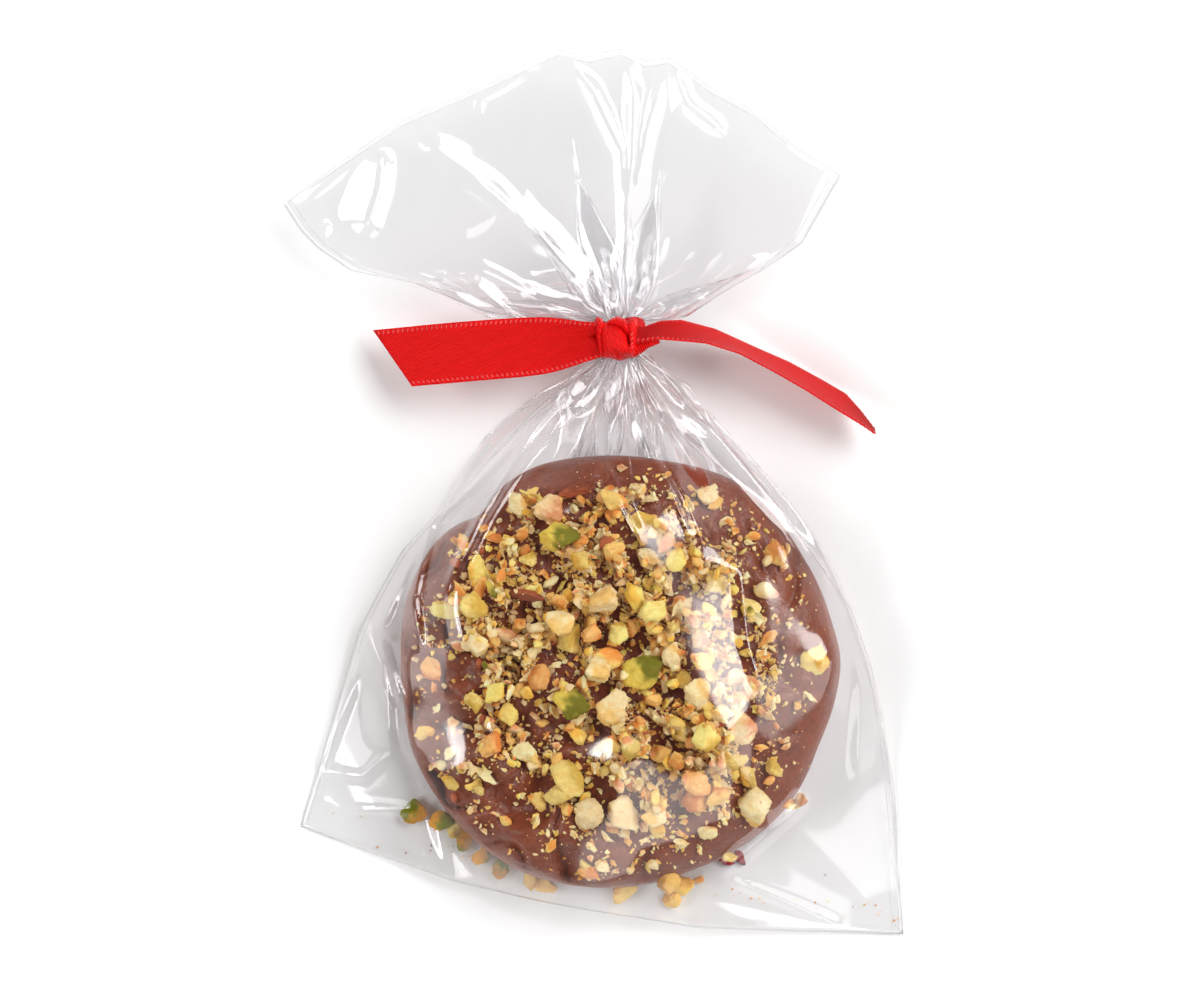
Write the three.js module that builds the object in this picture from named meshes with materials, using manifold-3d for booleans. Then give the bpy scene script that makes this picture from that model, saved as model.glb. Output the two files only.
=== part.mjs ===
// A chocolate-coated pistachio cookie in a clear flat bag, lying on its back on a table. The bag is
// gathered above the cookie, tied with a red satin ribbon, and its open end fans out past the tie.
// Millimetres, +Z up, +Y from the cookie towards the bag's mouth. The origin is on the table, under
// the middle of the cookie.
import * as THREE from 'three';
import { mergeVertices } from 'three/addons/utils/BufferGeometryUtils.js';
import Module from 'manifold-3d';

// ---------- driving dimensions ----------

// The cookie that the film lies over.
const COOKIE_RADIUS = 36.5;
const COOKIE_HEIGHT = 14;
const NUT_HEIGHT = 3.4;         // the chopped nuts stand this far above the chocolate
const NUT_RADIUS = 30;          // and cover the cookie out to here
const EDGE_ROUND = 4;           // the cookie's upper edge starts to fall this far inside its rim
const FILM_SLOPE = 9;           // the film comes down to the table over this width

// The bag: a flat 102 mm film bag, seen from above. Each side runs from its bottom corner to the tie,
// then from the tie to the corner of the mouth.
const POUCH_LEFT = [[-53.3, -26], [-48.8, -10.8], [-43.5, 7], [-34.6, 22], [-21, 35.8], [-3.8, 53.4]];
const POUCH_RIGHT = [[47.3, -44], [45.4, -17], [42, 0.4], [31.4, 20.2], [17.5, 38.5], [3.1, 53.4]];
const FAN_LEFT = [[-3.8, 57.4], [-18, 60], [-34.3, 64.8], [-45.5, 66.8], [-52.6, 73], [-55.8, 77.5]];
const FAN_RIGHT = [[3.1, 57.4], [11, 59.4], [23.7, 66.7], [30.4, 71], [36.7, 82.3]];
const BOTTOM_SAG = -5;          // the bottom edge bows away from the tie
const MOUTH_RISE = 24.5;        // the mouth is an arc above the line between its corners
const MOUTH_DIP = 1.1;          // its edge is scalloped where pleats end
const SEAM = 0.5;               // thickness at the flat bag's edges

// The gathered neck.
const NECK_HEIGHT = 7.4;        // its middle above the table
const NECK_RADIUS = 3.2;
const NECK_ROUND = 16;          // the pouch turns from flat to round over this length before the neck
const GATHER_FOLDS = 7;         // creases that run out of the neck, on each layer
const GATHER_DEPTH = 0.55;
const FINE_SHARE = 0.3;         // of a set of creases, what its finer wave makes
const FINE_RATIO = 1.7;         // and how much finer that wave is
const GATHER_REACH = 17;        // how far the creases run into the pouch
const TENT_REACH = 26;          // how far the neck holds the upper film off the table

// The fanned mouth.
const FAN_MIDDLE = 10.5;        // height of the middle of the mouth
const FAN_TIP = 4.2;            // height of its corners
const FAN_OPEN = 4.6;           // half the gap between the two layers at the mouth
const PLEATS = 5.5;
const PLEAT_DEPTH = 1.5;

// The ribbon: 10 mm satin.
const RIBBON_WIDTH = 10;
const RIBBON_THICK = 0.6;
const RIBBON_GAP = 0.32;        // clear of the film all round
const BAND_WIDTH = 6.6;         // the ribbon is crushed to this where it goes round the neck
const BAND_THICK = 0.9;
const KNOT_CENTRE = [0.1, 55.4, 11.6];
const KNOT_RADII = [3.3, 3.5, 2.7];
const EAR_RADII = [2.2, 2.3, 2.1];
const EAR_OFFSET = [2.5, 1.5, -0.6];
// Each tail: the middle of the ribbon from the knot outwards, how far it leans on its edge, its width.
const LEFT_TAIL = {
  path: [[-1.5, 55.3, 11.4], [-5.5, 54.6, 11.6], [-13, 53.9, 11], [-25, 53, 9.4], [-37.6, 51.9, 6.6]],
  lean: [10, 4, 0, -6, -10],
  width: [5, 6.5, 9.4, RIBBON_WIDTH, RIBBON_WIDTH],
  slant: 30,                    // degrees the cut end is off square
};
const RIGHT_TAIL = {
  path: [[1.5, 56.4, 11.6], [8, 56.9, 11.6], [16, 54.6, 10.2], [26, 49.6, 8], [40, 41, 6.2]],
  lean: [-20, -60, -66, -62, -58],
  width: [5, 7.5, 9, RIBBON_WIDTH, RIBBON_WIDTH],
  slant: 24,
};

// How finely the surfaces are cut up.
const COLUMNS = 28;
const POUCH_ROWS = 32;
const FAN_ROWS = 18;
const TAIL_ROWS = 16;
const TAIL_COLUMNS = 4;
const ROUND_STEPS = 18;

const wasm = await Module();
wasm.setup();

// ---------- shared helpers ----------

const mix = THREE.MathUtils.lerp;
const ease = THREE.MathUtils.smoothstep;

// A curve through points given as plain arrays.
function curve(points) {
  return new THREE.CatmullRomCurve3(points.map(([x, y, z = 0]) => new THREE.Vector3(x, y, z)));
}

// The value at t, from 0 to 1, of evenly spaced numbers.
function along(values, t) {
  const at = Math.min(t * (values.length - 1), values.length - 1.000001);
  const left = Math.floor(at);
  return mix(values[left], values[left + 1], at - left);
}

// A closed thick sheet. rows[j][i] holds the upper and the lower point of column i.
function slab(rows) {
  const columns = rows[0].length;
  const positions = [];
  const index = [];
  const corner = (j, i, side) => 2 * (j * columns + i) + side;
  for (const [upper, lower] of rows.flat()) {
    positions.push(...upper.toArray(), ...lower.toArray());
  }
  const quad = (a, b, c, d) => index.push(a, b, c, a, c, d);
  for (let j = 0; j < rows.length - 1; j++) {
    for (let i = 0; i < columns - 1; i++) {
      quad(corner(j, i, 0), corner(j, i + 1, 0), corner(j + 1, i + 1, 0), corner(j + 1, i, 0));
      quad(corner(j, i, 1), corner(j + 1, i, 1), corner(j + 1, i + 1, 1), corner(j, i + 1, 1));
    }
    quad(corner(j, 0, 0), corner(j + 1, 0, 0), corner(j + 1, 0, 1), corner(j, 0, 1));
    const edge = columns - 1;
    quad(corner(j, edge, 1), corner(j + 1, edge, 1), corner(j + 1, edge, 0), corner(j, edge, 0));
  }
  for (let i = 0; i < columns - 1; i++) {
    const last = rows.length - 1;
    quad(corner(0, i, 1), corner(0, i + 1, 1), corner(0, i + 1, 0), corner(0, i, 0));
    quad(corner(last, i, 0), corner(last, i + 1, 0), corner(last, i + 1, 1), corner(last, i, 1));
  }
  const geometry = new THREE.BufferGeometry();
  geometry.setAttribute('position', new THREE.Float32BufferAttribute(positions, 3));
  geometry.setIndex(index);
  return geometry;
}

// A closed geometry as a solid that can be joined and cut.
function toSolid(geometry) {
  const bare = geometry.clone();
  bare.deleteAttribute('normal');
  bare.deleteAttribute('uv');
  const merged = mergeVertices(bare, 1e-4);
  return new wasm.Manifold(new wasm.Mesh({
    numProp: 3,
    vertProperties: new Float32Array(merged.attributes.position.array),
    triVerts: new Uint32Array(merged.index.array),
  }));
}

function toGeometry(solid) {
  const mesh = solid.getMesh();
  const geometry = new THREE.BufferGeometry();
  geometry.setAttribute('position', new THREE.Float32BufferAttribute(mesh.vertProperties, 3));
  geometry.setIndex(new THREE.BufferAttribute(mesh.triVerts, 1));
  return geometry;
}

// ---------- the bag ----------

// Height of the film's upper layer where it lies over the cookie and its nuts.
function overCookie(x, y) {
  const angle = Math.atan2(y, x);
  const radius = COOKIE_RADIUS + 0.9 * Math.sin(3 * angle + 0.7) + 0.5 * Math.sin(7 * angle);
  const out = Math.hypot(x, y) - radius;
  const rounded = COOKIE_HEIGHT * (1 - ease(out, -EDGE_ROUND, FILM_SLOPE));
  const lumps = 0.75 + 0.25 * Math.sin(0.55 * x + 0.4) * Math.sin(0.6 * y);
  const nuts = NUT_HEIGHT * lumps * (1 - ease(Math.hypot(x, y), NUT_RADIUS - FILM_SLOPE, NUT_RADIUS));
  return rounded + nuts;
}

// Creases that run lengthways, uneven from one to the next: a coarse wave and a finer one.
function creases(u, count) {
  const turn = 2 * Math.PI * count * u;
  return (1 - FINE_SHARE) * Math.cos(turn + 0.4) + FINE_SHARE * Math.cos(FINE_RATIO * turn + 1.9);
}

// How round the section is at column u: 0 at its two edges, 1 in the middle.
function bulge(u) {
  return Math.sqrt(Math.max(0, 1 - (2 * u - 1) ** 2));
}

function pouchRow(s, grow) {
  const left = curve(POUCH_LEFT).getPoint(s);
  const right = curve(POUCH_RIGHT).getPoint(s);
  return acrossRow(left, right, BOTTOM_SAG * (1 - s) ** 2, grow, (x, y, u) => {
    const toNeck = Math.hypot(x, y - POUCH_LEFT.at(-1)[1]);
    const round = 1 - ease(toNeck, 0, NECK_ROUND);
    const tent = mix(NECK_HEIGHT, NECK_HEIGHT + NECK_RADIUS * bulge(u), round);
    const held = tent * (1 - ease(toNeck, 4, TENT_REACH)) * mix(bulge(u), 1, round);
    const crease = GATHER_DEPTH * creases(u, GATHER_FOLDS) * (1 - ease(toNeck, 2, GATHER_REACH)) * bulge(u);
    const floor = (NECK_HEIGHT - NECK_RADIUS * bulge(u)) * round ** 1.5;
    const upper = Math.max(overCookie(x, y), held + crease, floor + SEAM);
    return [upper + SEAM, floor];
  });
}

function fanRow(t, grow) {
  const left = curve(FAN_LEFT).getPoint(t);
  const right = curve(FAN_RIGHT).getPoint(t);
  return acrossRow(left, right, MOUTH_RISE * t ** 1.3, grow, (x, y, u) => {
    const middle = mix(NECK_HEIGHT, mix(FAN_TIP, FAN_MIDDLE, bulge(u)), ease(t, 0, 1));
    const half = mix(NECK_RADIUS, FAN_OPEN, t) * bulge(u) ** mix(1, 0.7, t) + SEAM / 2;
    const pleat = PLEAT_DEPTH * creases(u, PLEATS) * Math.sin(0.5 * Math.PI * t) * bulge(u);
    const small = GATHER_DEPTH * creases(u, GATHER_FOLDS) * (1 - t) * bulge(u) ** 2 * 0.4;
    const lower = Math.max(middle - half + 0.7 * pleat, SEAM);
    return [Math.max(middle + half + pleat + small, lower + 2 * SEAM), lower];
  }, MOUTH_DIP * t ** 3);
}

// One row of the bag from its left side to its right side. grow swells it on every side.
function acrossRow(left, right, arc, grow, heights, scallop = 0) {
  const row = [];
  for (let i = 0; i <= COLUMNS; i++) {
    const u = i / COLUMNS;
    const x = mix(left.x, right.x, u);
    const y = mix(left.y, right.y, u) + arc * 4 * u * (1 - u) - scallop * creases(u, PLEATS) * bulge(u);
    const [upper, lower] = heights(x, y, u);
    const spread = grow * (2 * u - 1);
    row.push([
      new THREE.Vector3(x + spread, y, upper + grow),
      new THREE.Vector3(x + spread, y, lower - grow),
    ]);
  }
  return row;
}

function bagGeometry(grow = 0) {
  const rows = [];
  for (let j = 0; j <= POUCH_ROWS; j++) rows.push(pouchRow(j / POUCH_ROWS, grow));
  for (let j = 0; j <= FAN_ROWS; j++) rows.push(fanRow(j / FAN_ROWS, grow));
  return slab(rows);
}

// ---------- the ribbon ----------

// A tail: a thin strip along its path, leaning on its edge, with its far end cut on the slant.
function tailSolid({ path, lean, width, slant }, side) {
  const line = curve(path);
  const rows = [];
  for (let j = 0; j <= TAIL_ROWS; j++) {
    const t = j / TAIL_ROWS;
    const centre = line.getPoint(t);
    const forward = line.getTangent(t);
    const tilt = THREE.MathUtils.degToRad(along(lean, t));
    const flat = new THREE.Vector3(-forward.y, forward.x, 0).normalize().multiplyScalar(side);
    const across = flat.multiplyScalar(Math.cos(tilt)).add(new THREE.Vector3(0, 0, Math.sin(tilt)));
    const normal = new THREE.Vector3().crossVectors(forward, across).normalize().multiplyScalar(side);
    const row = [];
    for (let i = 0; i <= TAIL_COLUMNS; i++) {
      const v = i / TAIL_COLUMNS - 0.5;
      const cut = Math.tan(THREE.MathUtils.degToRad(slant)) * RIBBON_WIDTH * v * t ** 4;
      const point = centre.clone().addScaledVector(across, v * along(width, t));
      point.addScaledVector(forward, cut);
      row.push([1, -1].map((face) => point.clone().addScaledVector(normal, face * RIBBON_THICK / 2)));
    }
    rows.push(side > 0 ? row.reverse() : row);
  }
  return toSolid(slab(rows));
}

// The crushed ribbon that goes round the neck.
function bandSolid() {
  const inner = NECK_RADIUS + SEAM;
  const half = BAND_WIDTH / 2;
  const profile = [
    [inner, -half], [inner + BAND_THICK, -half * 0.8], [inner + BAND_THICK * 1.2, 0],
    [inner + BAND_THICK, half * 0.8], [inner, half], [inner, -half],
  ].map(([x, y]) => new THREE.Vector2(x, y));
  const geometry = new THREE.LatheGeometry(profile, ROUND_STEPS);
  geometry.translate(0, KNOT_CENTRE[1], NECK_HEIGHT);
  return toSolid(geometry);
}

// A rounded lump with soft folds across it.
function lump(centre, radii, folds) {
  const geometry = new THREE.SphereGeometry(1, ROUND_STEPS, ROUND_STEPS / 2);
  const position = geometry.attributes.position;
  for (let i = 0; i < position.count; i++) {
    const point = new THREE.Vector3().fromBufferAttribute(position, i);
    const fold = 1 + 0.06 * Math.cos(folds * (point.x + 0.6 * point.y)) * (1 - point.y ** 2);
    point.multiplyScalar(fold).multiply(new THREE.Vector3(...radii)).add(new THREE.Vector3(...centre));
    position.setXYZ(i, point.x, point.y, point.z);
  }
  return toSolid(geometry);
}

function ribbonGeometry() {
  const [x, y, z] = KNOT_CENTRE;
  const [dx, dy, dz] = EAR_OFFSET;
  const pieces = [
    lump(KNOT_CENTRE, KNOT_RADII, 6),
    lump([x - dx, y + dy, z + dz], EAR_RADII, 5),
    lump([x + dx, y + dy, z + dz], EAR_RADII, 5),
    tailSolid(LEFT_TAIL, -1),
    tailSolid(RIGHT_TAIL, 1),
  ];
  const whole = pieces.reduce((sum, piece) => sum.add(piece), bandSolid());
  return toGeometry(whole.subtract(toSolid(bagGeometry(RIBBON_GAP))));
}

// ---------- the scene graph ----------

function piece(name, geometry, colour, roughness) {
  geometry.computeVertexNormals();
  const material = new THREE.MeshStandardMaterial({ color: colour, roughness, metalness: 0 });
  const mesh = new THREE.Mesh(geometry, material);
  mesh.name = name;
  return mesh;
}

const group = new THREE.Group();
group.add(
  piece('bag', bagGeometry(), 0xdfe1e2, 0.08),
  piece('ribbon', ribbonGeometry(), 0xd8141c, 0.4),
);

export default group;
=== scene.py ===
# %% [markdown]
# # A pistachio cookie in a tied clear bag
# The real thing is a chocolate-coated cookie under chopped pistachios, inside a flat bag of clear film.
# The film is gathered above the cookie, tied with a red satin ribbon, and fans out past the tie.
# This lesson builds it from the inside out: cookie, nuts, film, ribbon. The film comes after the nuts
# because it has to rest on them.

# %% Load the frame and keep its box
import math
import time

import bmesh
import bpy
import numpy as np
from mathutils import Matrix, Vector
from mathutils.bvhtree import BVHTree


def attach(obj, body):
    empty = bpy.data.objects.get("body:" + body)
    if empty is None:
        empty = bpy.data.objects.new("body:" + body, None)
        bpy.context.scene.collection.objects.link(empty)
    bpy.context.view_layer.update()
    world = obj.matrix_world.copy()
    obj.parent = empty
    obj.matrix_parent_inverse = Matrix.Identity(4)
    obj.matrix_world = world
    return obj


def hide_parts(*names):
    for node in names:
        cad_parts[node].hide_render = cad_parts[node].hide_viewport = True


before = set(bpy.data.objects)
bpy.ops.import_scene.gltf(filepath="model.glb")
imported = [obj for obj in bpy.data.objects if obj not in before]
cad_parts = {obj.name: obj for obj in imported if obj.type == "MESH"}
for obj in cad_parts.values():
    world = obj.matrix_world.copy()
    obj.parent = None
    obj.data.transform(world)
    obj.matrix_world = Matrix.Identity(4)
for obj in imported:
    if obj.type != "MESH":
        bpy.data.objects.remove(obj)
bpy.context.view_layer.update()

MM = 0.001

# %% [markdown]
# Sizes are written in millimetres, the way a maker would measure them, and turned into metres when a mesh
# is made. The photo looks straight down and 6 of its pixels are 1 mm, so a place that was read off the
# photo is written as its pixel and turned into millimetres by one helper.

# %% Places read off the photo
PIXELS_PER_MM = 6.0
ORIGIN_PIXEL = (620, 671)      # the middle of the cookie
CAMERA_HEIGHT = 833.0          # mm above the table
CAMERA_PIXEL = (600, 500)      # the middle of the picture


def place(px, py, height=0.0):
    """The x and y, in mm, of what shows at a pixel when it is at a height above the table."""
    x = (px - ORIGIN_PIXEL[0]) / PIXELS_PER_MM
    y = (ORIGIN_PIXEL[1] - py) / PIXELS_PER_MM
    middle_x = (CAMERA_PIXEL[0] - ORIGIN_PIXEL[0]) / PIXELS_PER_MM
    middle_y = (ORIGIN_PIXEL[1] - CAMERA_PIXEL[1]) / PIXELS_PER_MM
    nearer = 1 - height / CAMERA_HEIGHT
    return middle_x + (x - middle_x) * nearer, middle_y + (y - middle_y) * nearer


print("scale:", PIXELS_PER_MM, "pixels to a mm")

# %% [markdown]
# The stage is a pale table under a soft studio. A camera that looks straight down needs only its height
# and its lens: the lens follows from the width of table that the picture shows.

# %% Camera
camera_data = bpy.data.cameras.new("camera")
PICTURE_WIDTH = 1200           # pixels
camera_data.sensor_width = 36.0
camera_data.lens = CAMERA_HEIGHT * camera_data.sensor_width / (PICTURE_WIDTH / PIXELS_PER_MM)
camera = bpy.data.objects.new("camera", camera_data)
middle = place(*CAMERA_PIXEL)
camera.location = (middle[0] * MM, middle[1] * MM, CAMERA_HEIGHT * MM)
bpy.context.collection.objects.link(camera)
bpy.context.scene.camera = camera
print("lens in mm:", round(camera_data.lens, 1))

# %% [markdown]
# Film is only seen by what it mirrors, so the lamps are placed by the reflections in the photo: a large
# window at the upper right, and weaker ones at the left, low at the left, in front and at the right. Each
# is an area light, because a large lamp gives soft shadows and broad pale reflections.

# %% Lamps
LAMP_AIM = Vector((0, 20, 0))
LAMPS = [                      # name, place in mm, width and height in mm, watts
    ("key", (950, 760, 1400), (1400, 1000), 29.5),
    ("left", (-1290, 40, 1150), (1100, 320), 10.0),
    ("low left", (-1510, -120, 760), (900, 800), 5.5),
    ("front", (300, -1500, 1100), (1200, 900), 6.5),
    ("right", (1350, -430, 1080), (1050, 1050), 7.0),
]
for lamp_name, lamp_place, lamp_size, watts in LAMPS:
    lamp_data = bpy.data.lights.new(lamp_name, "AREA")
    lamp_data.shape = "RECTANGLE"
    lamp_data.size = lamp_size[0] * MM
    lamp_data.size_y = lamp_size[1] * MM
    lamp_data.energy = watts
    lamp = bpy.data.objects.new(lamp_name, lamp_data)
    lamp.location = Vector(lamp_place) * MM
    lamp.rotation_euler = (LAMP_AIM - Vector(lamp_place)).to_track_quat("-Z", "Y").to_euler()
    bpy.context.collection.objects.link(lamp)
print("lamps:", len(LAMPS))

# %% [markdown]
# Light crosses up to a dozen layers of film where the bag is gathered, and each counts as a bounce. The
# limits are raised so that no layer turns black.

# %% Light paths
bpy.context.scene.view_settings.view_transform = "Standard"
bpy.context.scene.cycles.transparent_max_bounces = 48
bpy.context.scene.cycles.max_bounces = 16
bpy.context.scene.cycles.glossy_bounces = 10
print("bounces:", bpy.context.scene.cycles.max_bounces)

# %% [markdown]
# Materials are node trees. A few small helpers keep each one short: one makes a material with its
# Principled shader, one adds a node and sets its values, and one joins two sockets.

# %% Material helpers
def new_material(name, **values):
    """A material with its Principled shader, and values set on that shader's own sockets."""
    material = bpy.data.materials.new(name)
    material.use_nodes = True
    shader = material.node_tree.nodes["Principled BSDF"]
    for socket, value in values.items():
        shader.inputs[socket.replace("_", " ")].default_value = value
    return material, material.node_tree, shader


def add(tree, kind, inputs=None, **settings):
    """A node of a kind, with its settings and with its inputs set to values or joined to sockets."""
    node = tree.nodes.new(kind)
    for key, value in settings.items():
        setattr(node, key, value)
    for key, value in (inputs or {}).items():
        if isinstance(value, bpy.types.NodeSocket):
            tree.links.new(value, node.inputs[key])
        else:
            node.inputs[key].default_value = value
    return node


def maths(tree, operation, *values, **settings):
    """The result of a Math node that works on numbers or sockets."""
    node = add(tree, "ShaderNodeMath", dict(enumerate(values)), operation=operation, **settings)
    return node.outputs[0]


def srgb(red, green, blue):
    """A colour as it is seen on a screen, 0 to 255, as the linear colour that shaders use."""
    def linear(value):
        value /= 255
        return value / 12.92 if value <= 0.04045 else ((value + 0.055) / 1.055) ** 2.4
    return linear(red), linear(green), linear(blue), 1.0


def new_group(name, inputs, outputs):
    """An empty shader node group with named sockets. Gives its tree and its two end nodes."""
    group = bpy.data.node_groups.new(name, "ShaderNodeTree")
    for title, kind, default in inputs:
        socket = group.interface.new_socket(title, in_out="INPUT", socket_type=kind)
        socket.default_value = default
    for title, kind in outputs:
        group.interface.new_socket(title, in_out="OUTPUT", socket_type=kind)
    return group, group.nodes.new("NodeGroupInput"), group.nodes.new("NodeGroupOutput")

# %% [markdown]
# The room is a dome that is bright all round and dark straight overhead. Flat film mirrors the dark part,
# so the chocolate under it keeps its depth, and folds mirror the bright part. The room stays darker than
# the table, so clear film reads as a light grey and only its slopes that face a lamp turn white.

# %% Room
ROOM_LOW, ROOM_HIGH = 0.5, 0.06       # brightness near the horizon and straight overhead
room = bpy.data.worlds.new("room")
room.use_nodes = True
bpy.context.scene.world = room
dome = room.node_tree
direction = add(dome, "ShaderNodeTexCoord")
height_part = add(dome, "ShaderNodeSeparateXYZ", {"Vector": direction.outputs["Generated"]})
brightness = add(dome, "ShaderNodeMapRange", {
    "Value": height_part.outputs["Z"], "From Min": 0.05, "From Max": 0.45, "To Min": ROOM_LOW,
    "To Max": ROOM_HIGH}, interpolation_type="SMOOTHSTEP")
dome.links.new(brightness.outputs["Result"], dome.nodes["Background"].inputs["Strength"])
dome.nodes["Background"].inputs["Color"].default_value = (1.0, 1.0, 1.0, 1.0)
print("room brightness:", ROOM_LOW, "to", ROOM_HIGH)

# %% [markdown]
# Chocolate, nuts and satin are all a little uneven in colour and in surface, each at its own scale. That
# unevenness is one node group, "uneven surface": it takes a colour, a lighter and a darker version of it
# by two sizes of noise, and gives a height for a bump. Each material places it with its own values.

# %% The uneven surface group
uneven, uneven_in, uneven_out = new_group(
    "uneven surface",
    [
        ("Color", "NodeSocketColor", (0.5, 0.5, 0.5, 1.0)),
        ("Dark", "NodeSocketColor", (0.2, 0.2, 0.2, 1.0)),
        ("Patch Size", "NodeSocketFloat", 5.0),
        ("Grain Size", "NodeSocketFloat", 0.5),
        ("Contrast", "NodeSocketFloat", 0.5),
    ],
    [("Color", "NodeSocketColor"), ("Height", "NodeSocketFloat")],
)
coordinates = add(uneven, "ShaderNodeTexCoord")
noises = []
for size_socket, detail, roughness in (("Patch Size", 3.0, 0.55), ("Grain Size", 2.0, 0.6)):
    scale = maths(uneven, "DIVIDE", 1000.0, uneven_in.outputs[size_socket])
    noise = add(uneven, "ShaderNodeTexNoise", {
        "Vector": coordinates.outputs["Object"], "Scale": scale, "Detail": detail, "Roughness": roughness})
    noises.append(noise.outputs["Fac"])
both = maths(uneven, "ADD", *noises)
centred = maths(uneven, "SUBTRACT", both, 1.0)
share = maths(uneven, "MULTIPLY_ADD", centred, uneven_in.outputs["Contrast"], 0.5, use_clamp=True)
mottled = add(uneven, "ShaderNodeMix", {
    0: share, 6: uneven_in.outputs["Dark"], 7: uneven_in.outputs["Color"]}, data_type="RGBA")
uneven.links.new(mottled.outputs[2], uneven_out.inputs["Color"])
uneven.links.new(both, uneven_out.inputs["Height"])


def add_uneven(tree, shader, color, dark, patch, grain_size, contrast, bump, depth_mm):
    """Places the group in a material and joins it to the shader's colour and, by a bump, to its normal."""
    group = add(tree, "ShaderNodeGroup", {
        "Color": color, "Dark": dark, "Patch Size": patch, "Grain Size": grain_size,
        "Contrast": contrast}, node_tree=uneven)
    tree.links.new(group.outputs["Color"], shader.inputs["Base Color"])
    relief = add(tree, "ShaderNodeBump", {
        "Height": group.outputs["Height"], "Strength": bump, "Distance": depth_mm * MM})
    tree.links.new(relief.outputs["Normal"], shader.inputs["Normal"])


print("uneven surface group:", len(uneven.nodes), "nodes")

# %% [markdown]
# Every piece of the object is a mesh that is worked out in numpy, in millimetres, and then handed to
# Blender in one go. A colour for each point can go with it, which a material reads by name.

# %% Mesh helpers
def build_mesh(name, points_mm, faces, material, smooth=True, colors=None, flat_uv=None):
    """A mesh object from points in millimetres. Gives the object, linked to the scene."""
    mesh = bpy.data.meshes.new(name)
    faces = faces if isinstance(faces, list) else faces.tolist()
    mesh.from_pydata((np.asarray(points_mm) * MM).tolist(), [], faces)
    mesh.materials.append(material)
    mesh.polygons.foreach_set("use_smooth", [smooth] * len(mesh.polygons))
    if colors is not None:
        layer = mesh.color_attributes.new("tint", "FLOAT_COLOR", "POINT")
        layer.data.foreach_set("color", np.c_[colors, np.ones(len(colors))].ravel())
    if flat_uv is not None:
        layer = mesh.uv_layers.new(name="flat")
        loops = np.empty(len(mesh.loops), dtype=np.int32)
        mesh.loops.foreach_get("vertex_index", loops)
        layer.data.foreach_set("uv", np.asarray(flat_uv)[loops].ravel())
    mesh.update()
    piece = bpy.data.objects.new(name, mesh)
    bpy.context.collection.objects.link(piece)
    return piece


def grid_faces(rows, columns, start=0, closed=False):
    """The four-sided faces of a grid of points that are listed row by row."""
    j, i = np.meshgrid(np.arange(rows - 1), np.arange(columns if closed else columns - 1), indexing="ij")
    i_next = (i + 1) % columns
    corners = np.stack([j * columns + i, j * columns + i_next, (j + 1) * columns + i_next,
                        (j + 1) * columns + i], axis=-1)
    return corners.reshape(-1, 4) + start

# %% [markdown]
# The table is a plain pale board just below the bag. It only has to catch the soft shadows.

# %% Table
TABLE_HALF = 1500              # mm
TABLE_TOP = -0.05
table_material, table_tree, table_shader = new_material("table", Roughness=0.8)
table_shader.inputs["Base Color"].default_value = (0.93, 0.93, 0.93, 1.0)
corners = [(x * TABLE_HALF, y * TABLE_HALF, TABLE_TOP) for x, y in ((-1, -1), (1, -1), (1, 1), (-1, 1))]
table = build_mesh("table", corners, [(0, 1, 2, 3)], table_material, smooth=False)
print("table:", 2 * TABLE_HALF, "mm wide")

# %% [markdown]
# Nothing about food is even, so many shapes below need noise. Blender's own noise textures live in
# materials; the meshes use this small one, which gives the same numbers on every run. Two more helpers
# go with it: a soft step from 0 to 1, and how far points are from a drawn line.

# %% Noise, steps and lines
class Noise:
    """Smooth noise from -1 to 1 that is the same on every run."""

    def __init__(self, seed):
        rng = np.random.default_rng(seed)
        self.order = np.tile(rng.permutation(256), 2)
        self.values = rng.uniform(-1, 1, 256)

    def __call__(self, x, y, z=0.0):
        p = np.stack(np.broadcast_arrays(x, y, z)).astype(float)
        cell = np.floor(p).astype(int)
        t = p - cell
        t = t * t * (3 - 2 * t)
        ends = np.stack([cell, cell + 1])               # the lower and the upper side of the cell, by axis
        shares = np.stack([1 - t, t])
        key = self.order[ends[:, 0] & 255]
        key = self.order[(key[:, None] + ends[:, 1]) & 255]
        key = self.order[(key[:, :, None] + ends[:, 2]) & 255]
        weights = (shares[:, 0][:, None] * shares[:, 1])[:, :, None] * shares[:, 2]
        corners = weights * self.values[key]            # one for each of the cell's eight corners
        return sum(corners.reshape(8, *t.shape[1:]))


def smoothstep(value, low, high):
    t = np.clip((value - low) / (high - low), 0, 1)
    return t * t * (3 - 2 * t)


def near_line(x, y, line):
    """For each x and y: how far it is from a line of points, how far along, and on which side (+ is left)."""
    path = np.asarray(line, float)
    run = np.r_[0, np.cumsum(np.hypot(*np.diff(path, axis=0).T))]
    nearest, at, side = np.full(np.shape(x), 1e9), np.zeros(np.shape(x)), np.zeros(np.shape(x))
    for k, (a, b) in enumerate(zip(path[:-1], path[1:])):
        along = b - a
        t = np.clip(((x - a[0]) * along[0] + (y - a[1]) * along[1]) / (along @ along), 0, 1)
        away_x, away_y = x - a[0] - t * along[0], y - a[1] - t * along[1]
        away = np.hypot(away_x, away_y)
        closer = away < nearest
        nearest = np.where(closer, away, nearest)
        at = np.where(closer, (run[k] + t * (run[k + 1] - run[k])) / run[-1], at)
        side = np.where(closer, along[0] * away_y - along[1] * away_x, side)
    return nearest, at, side

# %% [markdown]
# The cookie is a thick disc that was dipped in milk chocolate. Its outline isn't a circle: the coating
# bulges in lobes at the upper left and is smoother on the right. The outline is a closed curve through a
# few radii. The top is a height for each x and y, a flat dome with lumps and with the grooves where the
# chocolate ran and set. Keeping it a height makes it easy to drop nuts and film on it later.

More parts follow.
